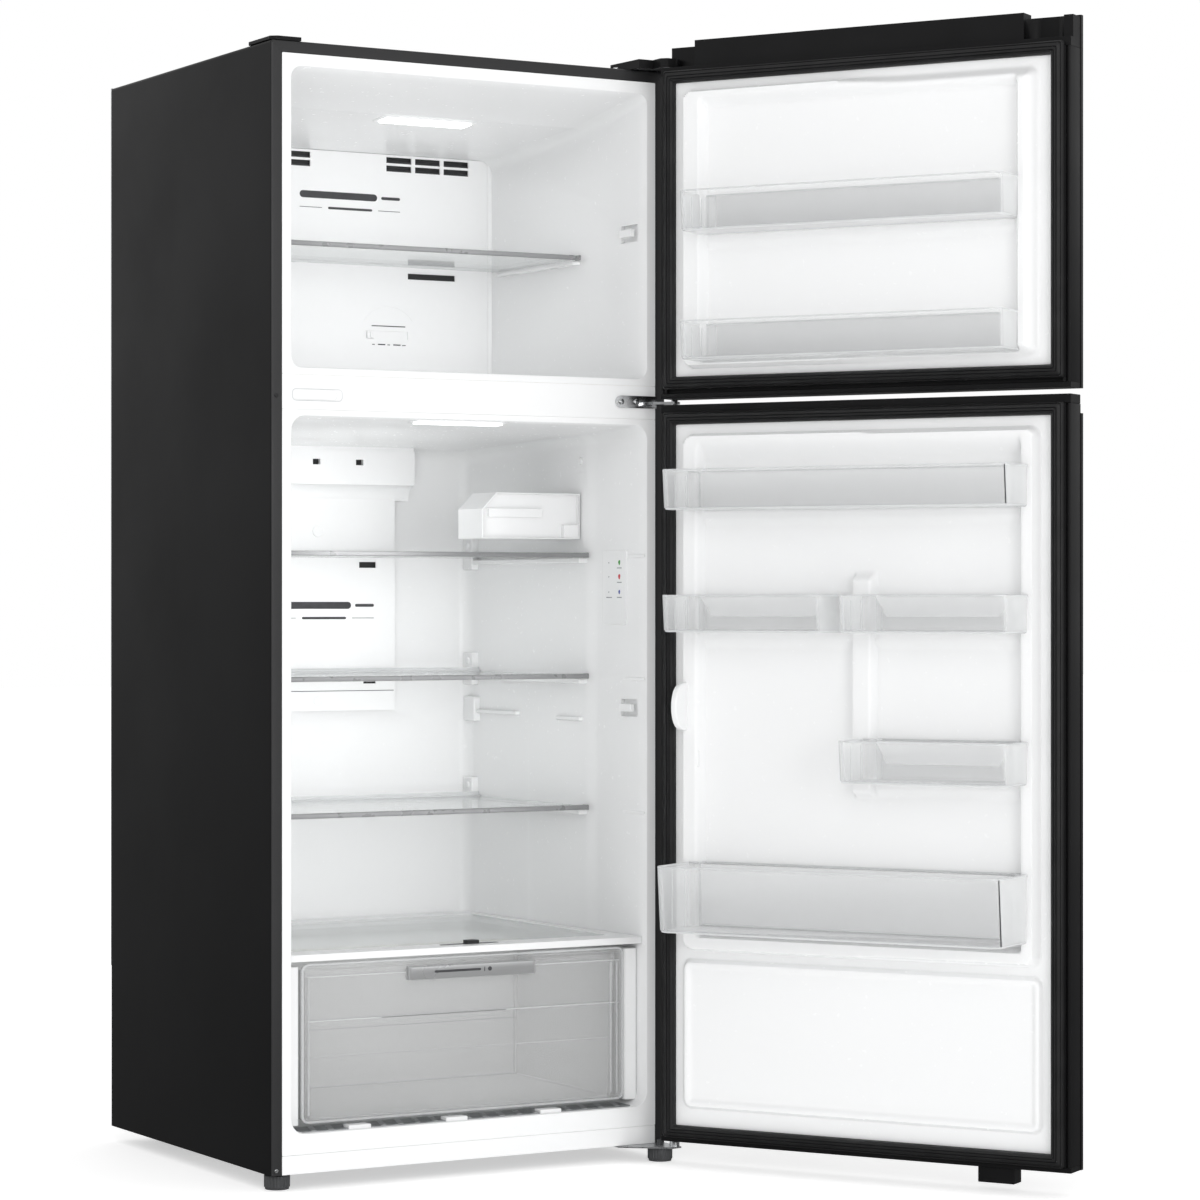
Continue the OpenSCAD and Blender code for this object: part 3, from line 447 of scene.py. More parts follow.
def cabinet_wrap():
    """The painted wrap of the cabinet: side walls, top and the flange folded in around the front."""
    low, high = span("cabinet_shell")
    nose = 3.5
    section = [(high.y, 0), (nose, 0)]
    section += arc(nose, nose, nose, 270, -90, 5)[1:]
    section += [(0, FLANGE - 0.8), (0.8, FLANGE), (12, FLANGE), (12, FLANGE - SHEET), (SHEET, FLANGE - SHEET)]
    section += [(SHEET, nose + 2), (nose + 2, SHEET), (high.y, SHEET)]
    rows = [upright_ring(arch(high.x - inset, low.z, high.z - inset, max(5 - inset, 0.6)), y) for y, inset in section]
    bm = bmesh.new()
    loft(bm, list(zip(*rows)))
    wrap = piece("cabinet_wrap", "cabinet", "cabinet_black", bm, smooth=40, replaces=["cabinet_shell"])
    # Faces that look to the front take the lighter, glossier copy of the same black paint: painted light where the
    # flange faces the lamps.
    wrap.data.materials.append(LOOKS["front_lit_black"])
    for face in wrap.data.polygons:
        if face.normal.y < -0.6:
            face.material_index = 1
    seam = bmesh.new()
    for side in (-1, 1):
        outer, inner = (side * (high.x - 2.5), high.z - 2.5), (side * (high.x - FLANGE), high.z - FLANGE)
        wide = 0.45
        prism(seam, [(outer[0] - wide, outer[1]), (outer[0], outer[1] - wide), (inner[0], inner[1] - wide),
                     (inner[0] - wide, inner[1])], -0.12, 0.6, "y")
    piece("flange_mitres", "cabinet", "black_plastic", seam)


def liner_rings(stations, flange, grow, window):
    """Rings of a moulded liner from its front flange to its rear wall, made larger by grow.

    Each ring has two more points on its right side, at the heights of the switch recess.
    """
    def window_ring(x0, z0, x1, z1, r):
        points = rounded(x0, z0, x1, z1, r, 7)
        return points[:8] + [(x1, z) for z in window] + points[8:]

    first = stations[0]
    rings = [upright_ring(window_ring(*flange, 1.5), grow)]
    for y, more in ((0, 2.2), (0.5, 1.0), (2.0, 0.2)):
        half, low, high, r = first[1:]
        more += grow
        rings.append(upright_ring(window_ring(-half - more, low - more, half + more, high + more, r + more), y + grow))
    for y, half, low, high, r in stations[1:]:
        ring = window_ring(-half - grow, low - grow, half + grow, high + grow, r + grow)
        rings.append(upright_ring(ring, y + (grow if y > 300 else 0)))
    return rings


def moulded_liner(room, stations):
    """A compartment's vacuum-formed liner: two skins, with the recess for its door switch."""
    low, high = span(room + "_liner")
    switch = span(room + "_door_switch")
    middle = (switch[0].z + switch[1].z) / 2
    window = (middle - RECESS_HEIGHT / 2, middle + RECESS_HEIGHT / 2)
    bm = bmesh.new()
    skins = []
    for grow in (0, LINER_SKIN):
        rows = loft(bm, liner_rings(stations, (low.x, low.z, high.x, high.z), grow, window), ends=False)
        bm.faces.new(rows[-1])
        skins.append(rows)
    count = len(skins[0][0])
    for i in range(count):
        j = (i + 1) % count
        bm.faces.new((skins[0][0][i], skins[0][0][j], skins[1][0][j], skins[1][0][i]))
    for rows in reversed(skins):
        front = min(rows, key=lambda row: abs(row[0].co.y - RECESS_Y[0]))
        rear = rows[rows.index(front) + 1]
        mouth = [front[8], front[9], rear[9], rear[8]]
        bm.faces.remove(bm.faces.get(mouth))
    floor = [bm.verts.new(v.co + Vector((RECESS_DEPTH, 0, 0))) for v in mouth]
    for i in range(4):
        j = (i + 1) % 4
        bm.faces.new((mouth[i], mouth[j], floor[j], floor[i]))
    bm.faces.new(floor)
    piece(room + "_moulded_liner", "cabinet", "liner_white", bm, smooth=28, replaces=[room + "_liner"])


FREEZER_FLOOR = 1256
FREEZER_CEILING = 1714
FRIDGE_FLOOR = 86
FRIDGE_CEILING = 1181
BAY_TOP = 330
BAY_FRONT = 370
RECESS_Y = (27, 77)
RECESS_HEIGHT = 28
RECESS_DEPTH = 7  # clears a door switch pressed by its full 6 mm
LINER_SKIN = 1.6


def freezer_station(y):
    """Half width, floor and ceiling of the freezer at a depth."""
    drop = 34 * y / 195 if y < 195 else 34 + 27 * (y - 195) / 375
    return (y, 315 - 12 * y / 570, FREEZER_FLOOR, FREEZER_CEILING - drop)


def fridge_station(y):
    """Half width, floor and ceiling of the fridge at a depth in front of the bay step."""
    half = 315 - 4 * min(y, 160) / 160 - 4 * ease((y - 146) / 36) - 5 * clamp((y - 169) / 414)
    drop = 4 * y / 60 if y < 60 else 4 + 19 * (y - 60) / 523
    return (y, half, FRIDGE_FLOOR, FRIDGE_CEILING - drop)


def fillet(y0, y1, reach, steps=5):
    """Depth and inset of the rounding between the walls and a rear wall at y1."""
    for i in range(1, steps + 1):
        a = math.radians(90 * i / steps)
        yield y0 + (y1 - y0) * math.sin(a), reach * (1 - math.cos(a))


def freezer_liner():
    """The freezer's liner, whose ceiling slopes down to the rear."""
    stations = [(*freezer_station(0), 17)]
    for y in (RECESS_Y[0], RECESS_Y[1], 130, 180, 190, 195, 200, 210, 300, 420, 548):
        stations.append((*freezer_station(y), 17 + y / 60))
    half, floor, ceiling = freezer_station(570)[1:]
    for y, inset in fillet(548, 570, 18):
        stations.append((y, half - inset, floor + inset, ceiling - inset, 25))
    moulded_liner("freezer", stations)


def fridge_liner():
    """The fridge's liner, whose floor steps up over the machine bay."""
    stations = [(*fridge_station(0), 23)]
    for y in (RECESS_Y[0], RECESS_Y[1], 110, 144, 148, 152, 157, 162, 167, 172, 177, 182, 186, 250, 345):
        stations.append((*fridge_station(y), 23))
    round_r = 25
    for a in (22.5, 45, 67.5, 90):
        y = BAY_FRONT - round_r + round_r * math.sin(math.radians(a))
        rise = round_r * (1 - math.cos(math.radians(a)))
        stations.append((*fridge_station(y)[:2], FRIDGE_FLOOR + rise, fridge_station(y)[3], 23))
    for a in (0, 30, 60, 90):
        y = BAY_FRONT + 12 * (1 - math.cos(math.radians(a)))
        rise = 12 * (1 - math.sin(math.radians(a)))
        stations.append((*fridge_station(y)[:2], BAY_TOP - rise, fridge_station(y)[3], 23))
    stations.append((*fridge_station(560)[:2], BAY_TOP, fridge_station(560)[3], 23))
    half, ceiling = fridge_station(583)[1], fridge_station(583)[3]
    for y, inset in fillet(560, 583, 18):
        stations.append((y, half - inset, BAY_TOP + inset, ceiling - inset, 25))
    moulded_liner("fridge", stations)


def shelf_ledges():
    """Moulded ribs on the side walls that carry the shelves, with a stop behind each."""
    ribs = bmesh.new()
    shelf = span("freezer_shelf")[0].z
    for side in (-1, 1):
        x = sorted((side * 295, side * 312))
        block(ribs, (x[0], 205, shelf - 9), (x[1], 470, shelf - 2.3))
    piece("freezer_ledges", "cabinet", "liner_white", ribs, edge=3, segments=4)
    for level in ("upper", "middle", "lower"):
        shelf = span("fridge_shelf_" + level)[0].z
        ribs = bmesh.new()
        for side in (-1, 1):
            x = sorted((side * 291, side * 309))
            block(ribs, (x[0], 176, shelf - 11), (x[1], 574, shelf - 2.3))
            block(ribs, (x[0] - 1 if side > 0 else x[0], 546, shelf - 20), (x[1], 580, shelf + 36))
            disc(ribs, (560, shelf + 22), 6, *sorted((side * 287, side * 292)), "x", 20)
        piece("fridge_ledges_" + level, "cabinet", "liner_white", ribs, edge=3, segments=4)
        ribs = bmesh.new()
        for side in (-1, 1):
            half = fridge_station(20)[1]
            x = sorted((side * (half - 1.3), side * (half + 0.6)))
            block(ribs, (x[0], 5, shelf - 3), (x[1], 128, shelf + 2))
        piece("fridge_wall_line_" + level, "cabinet", "trim_white", ribs, edge=1.1)
    middle, lower = span("fridge_shelf_middle")[0].z, span("fridge_shelf_lower")[0].z
    spare = bmesh.new()
    for side in (-1, 1):
        x = sorted((side * 291, side * 309))
        low = (middle + lower) / 2 + 25
        block(spare, (x[0], 540, low), (x[1], 580, low + 43))
        block(spare, (x[0] + (4 if side > 0 else 0), 400, low + 14), (x[1] - (0 if side > 0 else 4), 545, low + 21))
        block(spare, (x[0] + (8 if side > 0 else 0), 190, low + 10), (x[1] - (0 if side > 0 else 8), 270, low + 17))
    piece("spare_shelf_supports", "cabinet", "liner_white", spare, edge=3, segments=4)


def screw_heads():
    """Pan-head screws on the hinges and the flange, and the plug in the flange's upper hole."""
    bright, black = bmesh.new(), bmesh.new()
    for x in (266, 294):
        dome(bright, (x, 1218), ((4.6, -3.5), (4.6, -4.6), (4.0, -5.4), (2.6, -5.8), (1.9, -5.8), (1.3, -4.6),
                                 (0.05, -4.6)), "y", 24)
    top = span("top_hinge")[1].z
    for x in (276, 300, 324):
        dome(bright, (x, 30), ((5, top + 0.1), (5, top + 1.6), (4, top + 2.7), (2, top + 3), (1.2, top + 2),
                               (0.05, top + 2)), "z", 24)
    for bm, z in ((bright, 32), (black, 1211)):
        dome(bm, (-341, z), ((3.3, -0.1), (3.3, -0.7), (2.6, -1.3), (1.5, -1.4), (0.9, -0.7), (0.05, -0.7)), "y", 24)
    piece("hinge_screw_heads", "cabinet", "hinge_chrome", bright, smooth=30, replaces=["hinge_screws"])
    piece("flange_hole", "cabinet", "black_plastic", black, smooth=30)


# ---------------------------------------------------------------- fittings inside

def vent(bm_dark, bm_vane, x, z, front, back):
    """What is seen through a slot: a black sheet at its back as painted shade of the duct, and one slanted vane."""
    block(bm_dark, (x[0] - 1.5, back, z[0] - 1.5), (x[1] + 1.5, back + 1.2, z[1] + 1.5))
    low = z[0] + 0.25 * (z[1] - z[0])
    slant = [(front, z[0] - 0.2), (front, z[0] + 1.0), (back - 0.5, low + 1.6), (back - 0.5, low)]
    prism(bm_vane, slant, x[0], x[1], "x")


def freezer_panel_details():
    """What stands on and behind the freezer's air panel."""
    low, high = span("freezer_air_panel")
    front = low.y
    dress("freezer_air_panel", "trim_white", 1.2, 3)
    dark, vanes = bmesh.new(), bmesh.new()
    for first in (102, -199):
        for i in range(3):
            for z in (1628.6, 1642.8):
                x = first + 55 * i
                vent(dark, vanes, (x, x + 48), (z, z + 10.2), front + 1, front + 5.5)
    block(dark, (143.4, front + 1.0, 1446.9), (233.6, front + 1.5, 1456.6))
    piece("freezer_vent_shadows", "cabinet", "black_plastic", dark)
    piece("freezer_vent_vanes", "cabinet", "foot_grey", vanes)
    ridge = bmesh.new()
    centre, r = (106.5, 1344), 56
    prism(ridge, arc(*centre, r, 34, 112, 12) + arc(*centre, r - 1.4, 146, -112, 12), front - 0.5, front + 0.5, "y")
    piece("temperature_arc", "cabinet", "trim_white", ridge, edge=0.3)
    marks = bmesh.new()
    for i, long in enumerate((5, 14, 5, 14, 7)):
        x = (75, 86, 104, 115, 132)[i]
        block(marks, (x, front - 0.12, 1333), (x + long, front + 0.2, 1334.4 if long < 10 else 1335))
    block(marks, (74, front - 0.12, 1364.5), (138, front + 0.2, 1366.2))
    piece("temperature_marks", "cabinet", "print_grey", marks)
    air_mark("freezer_air_mark", -61, front, 1576)
    half, floor, ceiling = freezer_station(front)[1:]
    strips = bmesh.new()
    for side in (-1, 1):
        section = ((half + 0.5, 7), (high.x - 3, 7), (high.x - 3, -0.6), (high.x - 1, -2.6), (high.x + 1.5, -3.2),
                   (half + 0.5, -3.2))
        outline = [(side * x, front + y) for x, y in section]
        prism(strips, outline if side < 0 else outline[::-1], floor + 4, ceiling - 3, "z")
    piece("air_panel_edges", "cabinet", "trim_white", strips, edge=0.8, segments=3)


def air_mark(name, x, front, z):
    """A plain printed mark: one heavy bar, one light bar and a broken rule below them."""
    marks = bmesh.new()
    wide = 189
    for start, stop, low, high in ((0, 0.77, 0, 12), (0.81, 1, 3.5, 8.5), (0, 0.22, -16, -15),
                                   (0.28, 0.72, -17.5, -13.5), (0.78, 1, -16, -15)):
        prism(marks, rounded(x + start * wide, z + low, x + stop * wide, z + high, (high - low) / 2 - 0.1, 3),
              front - 0.12, front + 0.2, "y")
    piece(name, "cabinet", "print_grey", marks)


def fridge_duct_details():
    """What stands on the fridge's air duct and in its openings."""
    low, high = span("fridge_air_duct")
    dress("fridge_air_duct", "trim_white", 2.5, 4)
    lower_front, upper_front = 546, low.y
    dark = bmesh.new()
    for x in (-27, 54):
        block(dark, (x - 1, upper_front + 8, 1128), (x + 15, upper_front + 9, 1139.5))
    block(dark, (71, lower_front + 5, 954), (105, lower_front + 6, 966))
    block(dark, (79, lower_front + 5, 756.5), (105, lower_front + 6, 762))
    piece("duct_vent_shadows", "cabinet", "black_plastic", dark)
    cap = bmesh.new()
    dome(cap, (-6, 1017), ((10.5, lower_front + 1), (10.5, lower_front - 0.9), (9.6, lower_front - 1.5),
                           (8.2, lower_front - 1.2), (0.1, lower_front - 1.2)), "y")
    dome(cap, (-6, 729), ((8, lower_front + 1), (8, lower_front - 0.7), (7, lower_front - 1.1),
                          (0.1, lower_front - 1.1)), "y")
    dome(cap, (197, 1130), ((6, 307), (6, 304.4), (4.6, 303.4), (0.1, 303.2)), "x")
    piece("duct_caps", "cabinet", "trim_white", cap)
    cove = bmesh.new()
    r = 24
    outline = [(lower_front + 2, 1098), (lower_front - r + 0.5, 1098)]
    outline += arc(lower_front - r, 1072, r, 90, -90, 6)
    outline.append((lower_front + 2, 1070))
    prism(cove, outline, low.x + 26, high.x - 26, "x")
    for side in (-1, 1):
        edge = 18 + side * 122
        outline = [(edge, 1071), (edge, 1100), (edge + side * 25.6, 1100)]
        outline += arc(edge + side * r, 1072 + r, r, 270, -side * 90, 6)[1:]
        prism(cove, outline, lower_front - 0.5, high.y - 4, "y")
    ceiling = fridge_station(upper_front)[3]
    block(cove, (low.x + 1, upper_front + 1.5, high.z - 1), (high.x - 1, high.y - 4, ceiling + 1))
    piece("duct_coves", "cabinet", "trim_white", cove, smooth=40)
    seam = bmesh.new()
    block(seam, (low.x + 28, lower_front - 0.1, 745), (high.x - 28, lower_front + 0.4, 746.2))
    piece("duct_seam", "cabinet", "foot_grey", seam)
    air_mark("fridge_air_mark", -89, lower_front, 885)


def label_panel():
    """The pale label on the right wall: rows of dots and three coloured symbols."""
    half = fridge_station(95)[1]
    plate = bmesh.new()
    prism(plate, rounded(58, 860, 132, 981, 3, 4), half - 1.3, half + 1.5, "x")
    piece("wall_label", "cabinet", "trim_white", plate, edge=0.5)
    shapes = {"print_green": (961, 4.2), "print_red": (938, 4.4), "print_blue": (913, 3.6)}
    for look, (z, r) in shapes.items():
        dot = bmesh.new()
        steps = 14
        outline = []
        for i in range(steps):
            a = 2 * math.pi * i / steps
            outline.append((79 + r * (0.72 + 0.28 * math.cos(a - 0.8)) * math.cos(a), z + r * math.sin(a)))
        prism(dot, outline, half - 1.45, half - 1.0, "x")
        piece("label_symbol_" + look[6:], "cabinet", look, dot)
    bars = bmesh.new()
    for z in (951.5, 928, 903.5):
        block(bars, (half - 1.42, 72, z), (half - 1.0, 87, z + 1.6))
    block(bars, (half - 1.42, 103, 903.5), (half - 1.0, 121, 905.1))
    for z in (961, 938, 913):
        disc(bars, (113, z), 1.3, half - 1.42, half - 1.0, "x", 12)
    piece("label_bars", "cabinet", "base_steel", bars)


def mullion_plate():
    """The blank oblong outline at the left end of the rail between the compartments."""
    y = span("mullion_rail")[0].y
    bm = bmesh.new()
    rows = ((0, y + 0.4), (0, y - 0.3), (1.3, y - 0.3), (1.3, y + 0.4))
    loft(bm, [upright_ring(rounded(-315 + i, 1204 + i, -229 - i, 1223 - i, 7 - i, 6), d) for i, d in rows], loop=True)
    piece("mullion_plate_outline", "cabinet", "fin_aluminium", bm, smooth=50)


def lamp_frames():
    """A thin moulded frame around each lamp lens."""
    dress("interior_lamps", "lamp_lens", 1.2, 3)
    slope = math.atan(27 / 375)
    for name, x, y, z, tilt in (("freezer_lamp_frame", (-52, 118), (9, 58), 1680, slope),
                                ("fridge_lamp_frame", (-97, 67), (8, 43), 1181, math.atan(4 / 60))):
        bm = bmesh.new()
        outer = rounded(x[0], y[0], x[1], y[1], 6, 5)
        inner = rounded(x[0] + 6, y[0] + 8, x[1] - 6, y[1] - 7, 4, 5)
        rings = ((outer, 0.4), (outer, -0.5), (inner, -1.4), (inner, 0.4))
        loft(bm, [flat_ring(*ring) for ring in rings], loop=True)
        at = Matrix.Translation((0, 195 if "freezer" in name else 0, z)) @ Matrix.Rotation(-tilt, 4, "X")
        piece(name, "cabinet", "trim_white", bm, turn=at, smooth=50)


def shelf(glass):
    """A glass shelf with its front and rear trims, on the body of the same name."""
    trims, body = glass + "_trim", glass
    dress(glass, "shelf_glass", 0.8)
    low, high = span(trims)
    z = span(glass)[0].z
    bm = bmesh.new()
    y = low.y
    front = [(y + 14, z + 4.1), (y + 14, z + 5.4), (y + 12, z + 6), (y + 4, z + 6), (y + 1.3, z + 5), (y, z + 2.4),
             (y + 0.4, z - 0.6), (y + 2.2, z - 2), (y + 9, z - 2), (y + 9, z - 0.1), (y + 6, z - 0.1), (y + 6, z + 4.1)]
    prism(bm, front, low.x, high.x, "x")
    piece(trims + "_front_profile", body, "shelf_trim", bm, edge=0.4, replaces=[trims])
    bm = bmesh.new()
    y = high.y
    rear = [(y - 14, z + 4.1), (y - 14, z + 5), (y - 6, z + 6), (y - 4, z + 11), (y, z + 11), (y, z),
            (y - 4.8, z), (y - 4.8, z + 4.1)]
    prism(bm, rear, low.x, high.x, "x")
    piece(trims + "_rear_profile", body, "rim_plastic", bm, edge=0.4)
    ends = bmesh.new()
    for x in (low.x - 0.6, high.x - 2.4):
        prism(ends, [(low.y - 0.3, z - 2.3), (low.y + 15, z - 2.3), (low.y + 15, z + 6.3), (low.y + 1, z + 6.3),
                     (low.y - 0.3, z + 5)], x, x + 3, "x")
    piece(trims + "_ends", body, "shelf_trim", ends, edge=0.5)


def crisper_cover():
    """The frame and glass over the crisper, with the dark floor of the humidity slider's slot."""
    dress("crisper_cover_frame", "trim_white", 1.2, 3)
    dress("crisper_cover_glass", "shelf_glass", 0.5)
    dress("humidity_slider", "black_plastic", 0.8, 2)
    low, high = span("crisper_cover_frame")
    slot = bmesh.new()
    prism(slot, rounded(-34.6, 40, 67.6, 54, 5, 5), high.z - 1.2, high.z + 0.25, "z")
    piece("humidity_slot_floor", "cabinet", "black_plastic", slot)


def crisper():
    """The clear drawer: a box with a drafted body, a deep front panel and a metal-look handle."""
    low, high = span("crisper_drawer")
    half = high.x
    side = half - 9
    floor = low.z + 1
    rim = high.z - 12
    bm = bmesh.new()
    rings = []
    for z, inset, r in ((floor, 9, 12), (floor + 1.5, 7, 14), (rim - 12, 0.5, 14), (rim - 11.5, 0, 14), (rim, 0, 14),
                        (rim, 3, 11), (rim - 10, 3.2, 11), (floor + 6, 10, 11), (floor + 3, 13, 9)):
        front = low.y + 5.5 + inset * 0.3
        rings.append(flat_ring(rounded(-side + inset, front, side - inset, high.y - inset, r, 6), z))
    loft(bm, rings)
    piece("crisper_box", "crisper", "drawer_plastic", bm, smooth=50, replaces=["crisper_drawer"])
    front = bmesh.new()
    y = low.y
    loft(front, [upright_ring(rounded(-half + i, low.z + i, half - i, high.z - i, max(12 - i, 2), 6), d) for i, d in
                 ((2, y + 4.5), (0, y + 4.5), (0, y + 1), (1, y), (6, y), (7, y + 1.6), (7.5, y + 1.6))])
    piece("crisper_front", "crisper", "drawer_plastic", front, smooth=40)
    border = bmesh.new()
    rows = [(0.6, y + 3.8), (0.4, y + 0.6), (1.6, y - 0.5), (3.4, y - 0.3), (3.8, y + 1.2), (3.8, y + 3.8)]
    loft(border, [upright_ring(rounded(-half + i, low.z + i, half - i, high.z - i, 12 - i, 6), d) for i, d in rows],
         loop=True)
    piece("crisper_front_rim", "crisper", "rim_plastic", border, smooth=50)
    band = bmesh.new()
    for z in (high.z - 90, high.z - 22):
        block(band, (-half + 9, y - 0.3, z), (half - 9, y + 1.2, z + 1.6))
    for x in (-half + 12, half - 24, half - 13):
        block(band, (x, y + 1.2, low.z + 12), (x + 1.8, y + 4.5, high.z - 24))
    piece("crisper_front_ribs", "crisper", "rim_plastic", band, edge=0.4)
    inner = bmesh.new()
    for z, inset in ((floor + 5, 11), (195, 5)):
        outer = rounded(-side + inset, low.y + 12, side - inset, high.y - inset, 10, 4)
        ring = rounded(-side + inset + 1.4, low.y + 13.4, side - inset - 1.4, high.y - inset - 1.4, 9, 4)
        loft(inner, [flat_ring(outer, z), flat_ring(outer, z + 1.4), flat_ring(ring, z + 1.4), flat_ring(ring, z)],
             loop=True)
    for x in (-side + 8, side - 9.6):
        block(inner, (x, high.y - 10, floor + 6), (x + 1.6, high.y - 8.4, 300))
    piece("crisper_inner_lines", "crisper", "rim_plastic", inner, edge=0.3)
    dark = bmesh.new()
    block(dark, (-150, y - 0.35, high.z - 89.6), (70, y + 0.4, high.z - 88.8))
    piece("crisper_band_shadow", "crisper", "foot_grey", dark)
    low, high = span("crisper_handle")
    grip = bmesh.new()
    y, z0, z1 = low.y, low.z, high.z
    outline = [(high.y, z1 - 0.5), (y + 2, z1), (y + 0.4, z1 - 1.2), (y, z1 - 4), (y + 0.8, z0 + 1.5), (y + 1.6, z0),
               (y + 3.4, z0), (y + 3.6, z0 + 3), (y + 3.6, z1 - 6.4), (high.y, z1 - 6.4)]
    prism(grip, outline, low.x + 3, high.x - 3, "x")
    piece("crisper_handle_bar", "crisper", "handle_metal", grip, edge=0.5, replaces=["crisper_handle"])
    ends = bmesh.new()
    for x in (low.x, high.x - 3):
        block(ends, (x, y + 0.4, z0), (x + 3, high.y, z1))
    piece("crisper_handle_ends", "crisper", "handle_metal", ends, edge=0.8)
    mark = bmesh.new()
    middle = (z0 + z1) / 2 + 1
    prism(mark, rounded(-62, middle - 1.8, 20, middle + 1.8, 1.6, 3), y - 0.12, y + 0.9, "y")
    prism(mark, rounded(26, middle - 3.4, 27.2, middle + 3.4, 0.5, 3), y - 0.12, y + 0.9, "y")
    disc(mark, (36, middle), 3.4, y - 0.12, y + 0.9, "y", 24)
    piece("crisper_handle_mark", "crisper", "print_grey", mark)


def tabs_under_drawer():
    """Guide tabs, and a dark slab with slanted ribs on the liner's floor below the drawer; the slab is painted shade
    for the gap under the drawer.
    """
    z = FRIDGE_FLOOR
    mat = bmesh.new()
    # The dark slab is painted shade: it stands for the shadowed gap under the drawer.
    prism(mat, rounded(-292, 8, 292, 60, 6, 4), z - 0.4, z + 1.4, "z")
    piece("drawer_gap_shade", "cabinet", "base_steel", mat, edge=0.5)
    ribs = bmesh.new()
    for i in range(19):
        x = -278 + 30 * i
        prism(ribs, [(x, 9), (x + 9, 9), (x + 25, 58), (x + 16, 58)], z + 1, z + 2.4, "z")
    piece("drawer_floor_ribs", "cabinet", "zinc_steel", ribs, edge=0.4)
    bm = bmesh.new()
    for x in (-196, -27, 142):
        block(bm, (x - 19, 6, z - 0.4), (x + 19, 26, z + 6))
    piece("drawer_guides", "cabinet", "trim_white", bm, edge=1.2, segments=3)
    bm = bmesh.new()
    for side in (-1, 1):
        x = sorted((side * 289.5, side * 314))
        prism(bm, rounded(x[0], 27, x[1], 66, 5, 4), z + 8, 338, "z")
    piece("drawer_side_guides", "cabinet", "liner_white", bm, edge=1.5, segments=3)


def under_sheet():
    """The pressed sheet that closes the cabinet from below, between its front and the machine bay."""
    low, high = span("insulation")
    bm = bmesh.new()
    block(bm, (low.x + 6, 20, low.z - 1.4), (high.x - 6, 404, low.z - 0.2))
    for i in range(5):
        x = -260 + 130 * i
        prism(bm, rounded(x - 8, 60, x + 8, 370, 7, 4), low.z - 3, low.z - 0.8, "z")
    piece("under_sheet", "cabinet", "back_steel", bm, edge=0.5)


# ---------------------------------------------------------------- doors

GASKET = ((0.0, -13.2), (0.0, -6.5), (1.2, -4.2), (2.2, -3.4), (3.0, -4.4), (3.8, -3.0), (5.2, -1.6), (8.4, -1.0),
          (9.2, -2.4), (10.0, -1.0), (13.0, -1.0), (13.8, -2.4), (14.6, -1.1), (17.0, -2.0), (18.6, -4.2), (20.0, -7.0),
          (20.0, -13.2))


def door_gasket(door):
    """A magnetic gasket: bellows with parallel ribs, mitred at the corners."""
    body = door + "_door"
    turn = door_turn(body)
    low, high = span(body + "_gasket", turn)
    bm = bmesh.new()
    loft(bm, [upright_ring(rounded(low.x + i, low.z + i, high.x - i, high.z - i, max(4 - i * 0.1, 1.5), 4), y)
              for i, y in GASKET], loop=True)
    piece(body + "_gasket_ribbed", body, "gasket_black", bm, turn, smooth=45, replaces=[body + "_gasket"])


def door_frame(door):
    """The black frame of a door, with the channel that holds the gasket."""
    body = door + "_door"
    turn = door_turn(body)
    low, high = span(body + "_body", turn)
    back = high.y
    front = span(body + "_cap", turn)[0].y
    bm = bmesh.new()
    rows = [(0, front), (0, back - 1.6), (0.5, back - 0.4), (1.6, back), (4.4, back), (5.0, back - 0.6),
            (5.2, back - 3.5), (7.4, back - 3.5), (7.8, back + 1.6), (12, back + 2.0), (12, back - 5), (30, back - 5)]
    loft(bm, [upright_ring(rounded(low.x + i, low.z + i * 0.02, high.x - i, high.z - i * 0.02, 0.5, 2), y)
              for i, y in rows])
    piece(body + "_frame", body, "door_core", bm, turn, smooth=40, replaces=[body + "_body"])


DOOR_RISE = 19.5  # how far the raised border of a door's liner stands out


def freezer_door_height(x, z, outer, base):
    """How far the freezer door's liner stands out at a point."""
    grip = clamp(-x / 40)
    up = ease(depth_inside(x, z, outer, 18) / (4 + 17 * grip))
    down = (ease((x - outer[0] - 30) / 9) * ease((outer[2] - 30 - x) / 10)
            * ease((z - outer[1] - 7) / 8) * ease((outer[3] - 10 - z) / 22))
    shelf = 0
    for level in (1478, 1277):
        shelf = max(shelf, 6 * ease((z - level + 26) / 16) * ease((level + 8 - z) / 10))
    return base + DOOR_RISE * (up - down) + shelf * down


def fridge_door_height(x, z, outer, base):
    """How far the fridge door's liner stands out at a point."""
    top = (outer[0], 344, outer[2], outer[3])
    up = ease(depth_inside(x, z, top, 18) / (5 + 3 * clamp(-x / 40)))
    down = (ease((x - top[0] - 24) / 8) * ease((top[2] - 26 - x) / 9)
            * ease((z - top[1] - 22) / 8) * ease((top[3] - 8 - z) / 40))
    post = ease((x + 32) / 6) * ease((8 - x) / 6) * ease((z - 590) / 16) * ease((945 - z) / 16)
    shelf = 0
    for level, side in ((1041, 0), (850, 0), (621, -1)):
        wide = 1 if side == 0 else ease((-20 - x) / 14)
        shelf = max(shelf, 5 * ease((z - level + 28) / 18) * ease((level + 8 - z) / 10) * wide)
    plate = (-306, 93, 306, 331)
    depth = depth_inside(x, z, plate, 16)
    low = 9 * ease(depth / 5) - 4 * ease((depth - 9) / 8)
    return base + DOOR_RISE * (up - down) + max(18.5 * post, shelf) * down + low


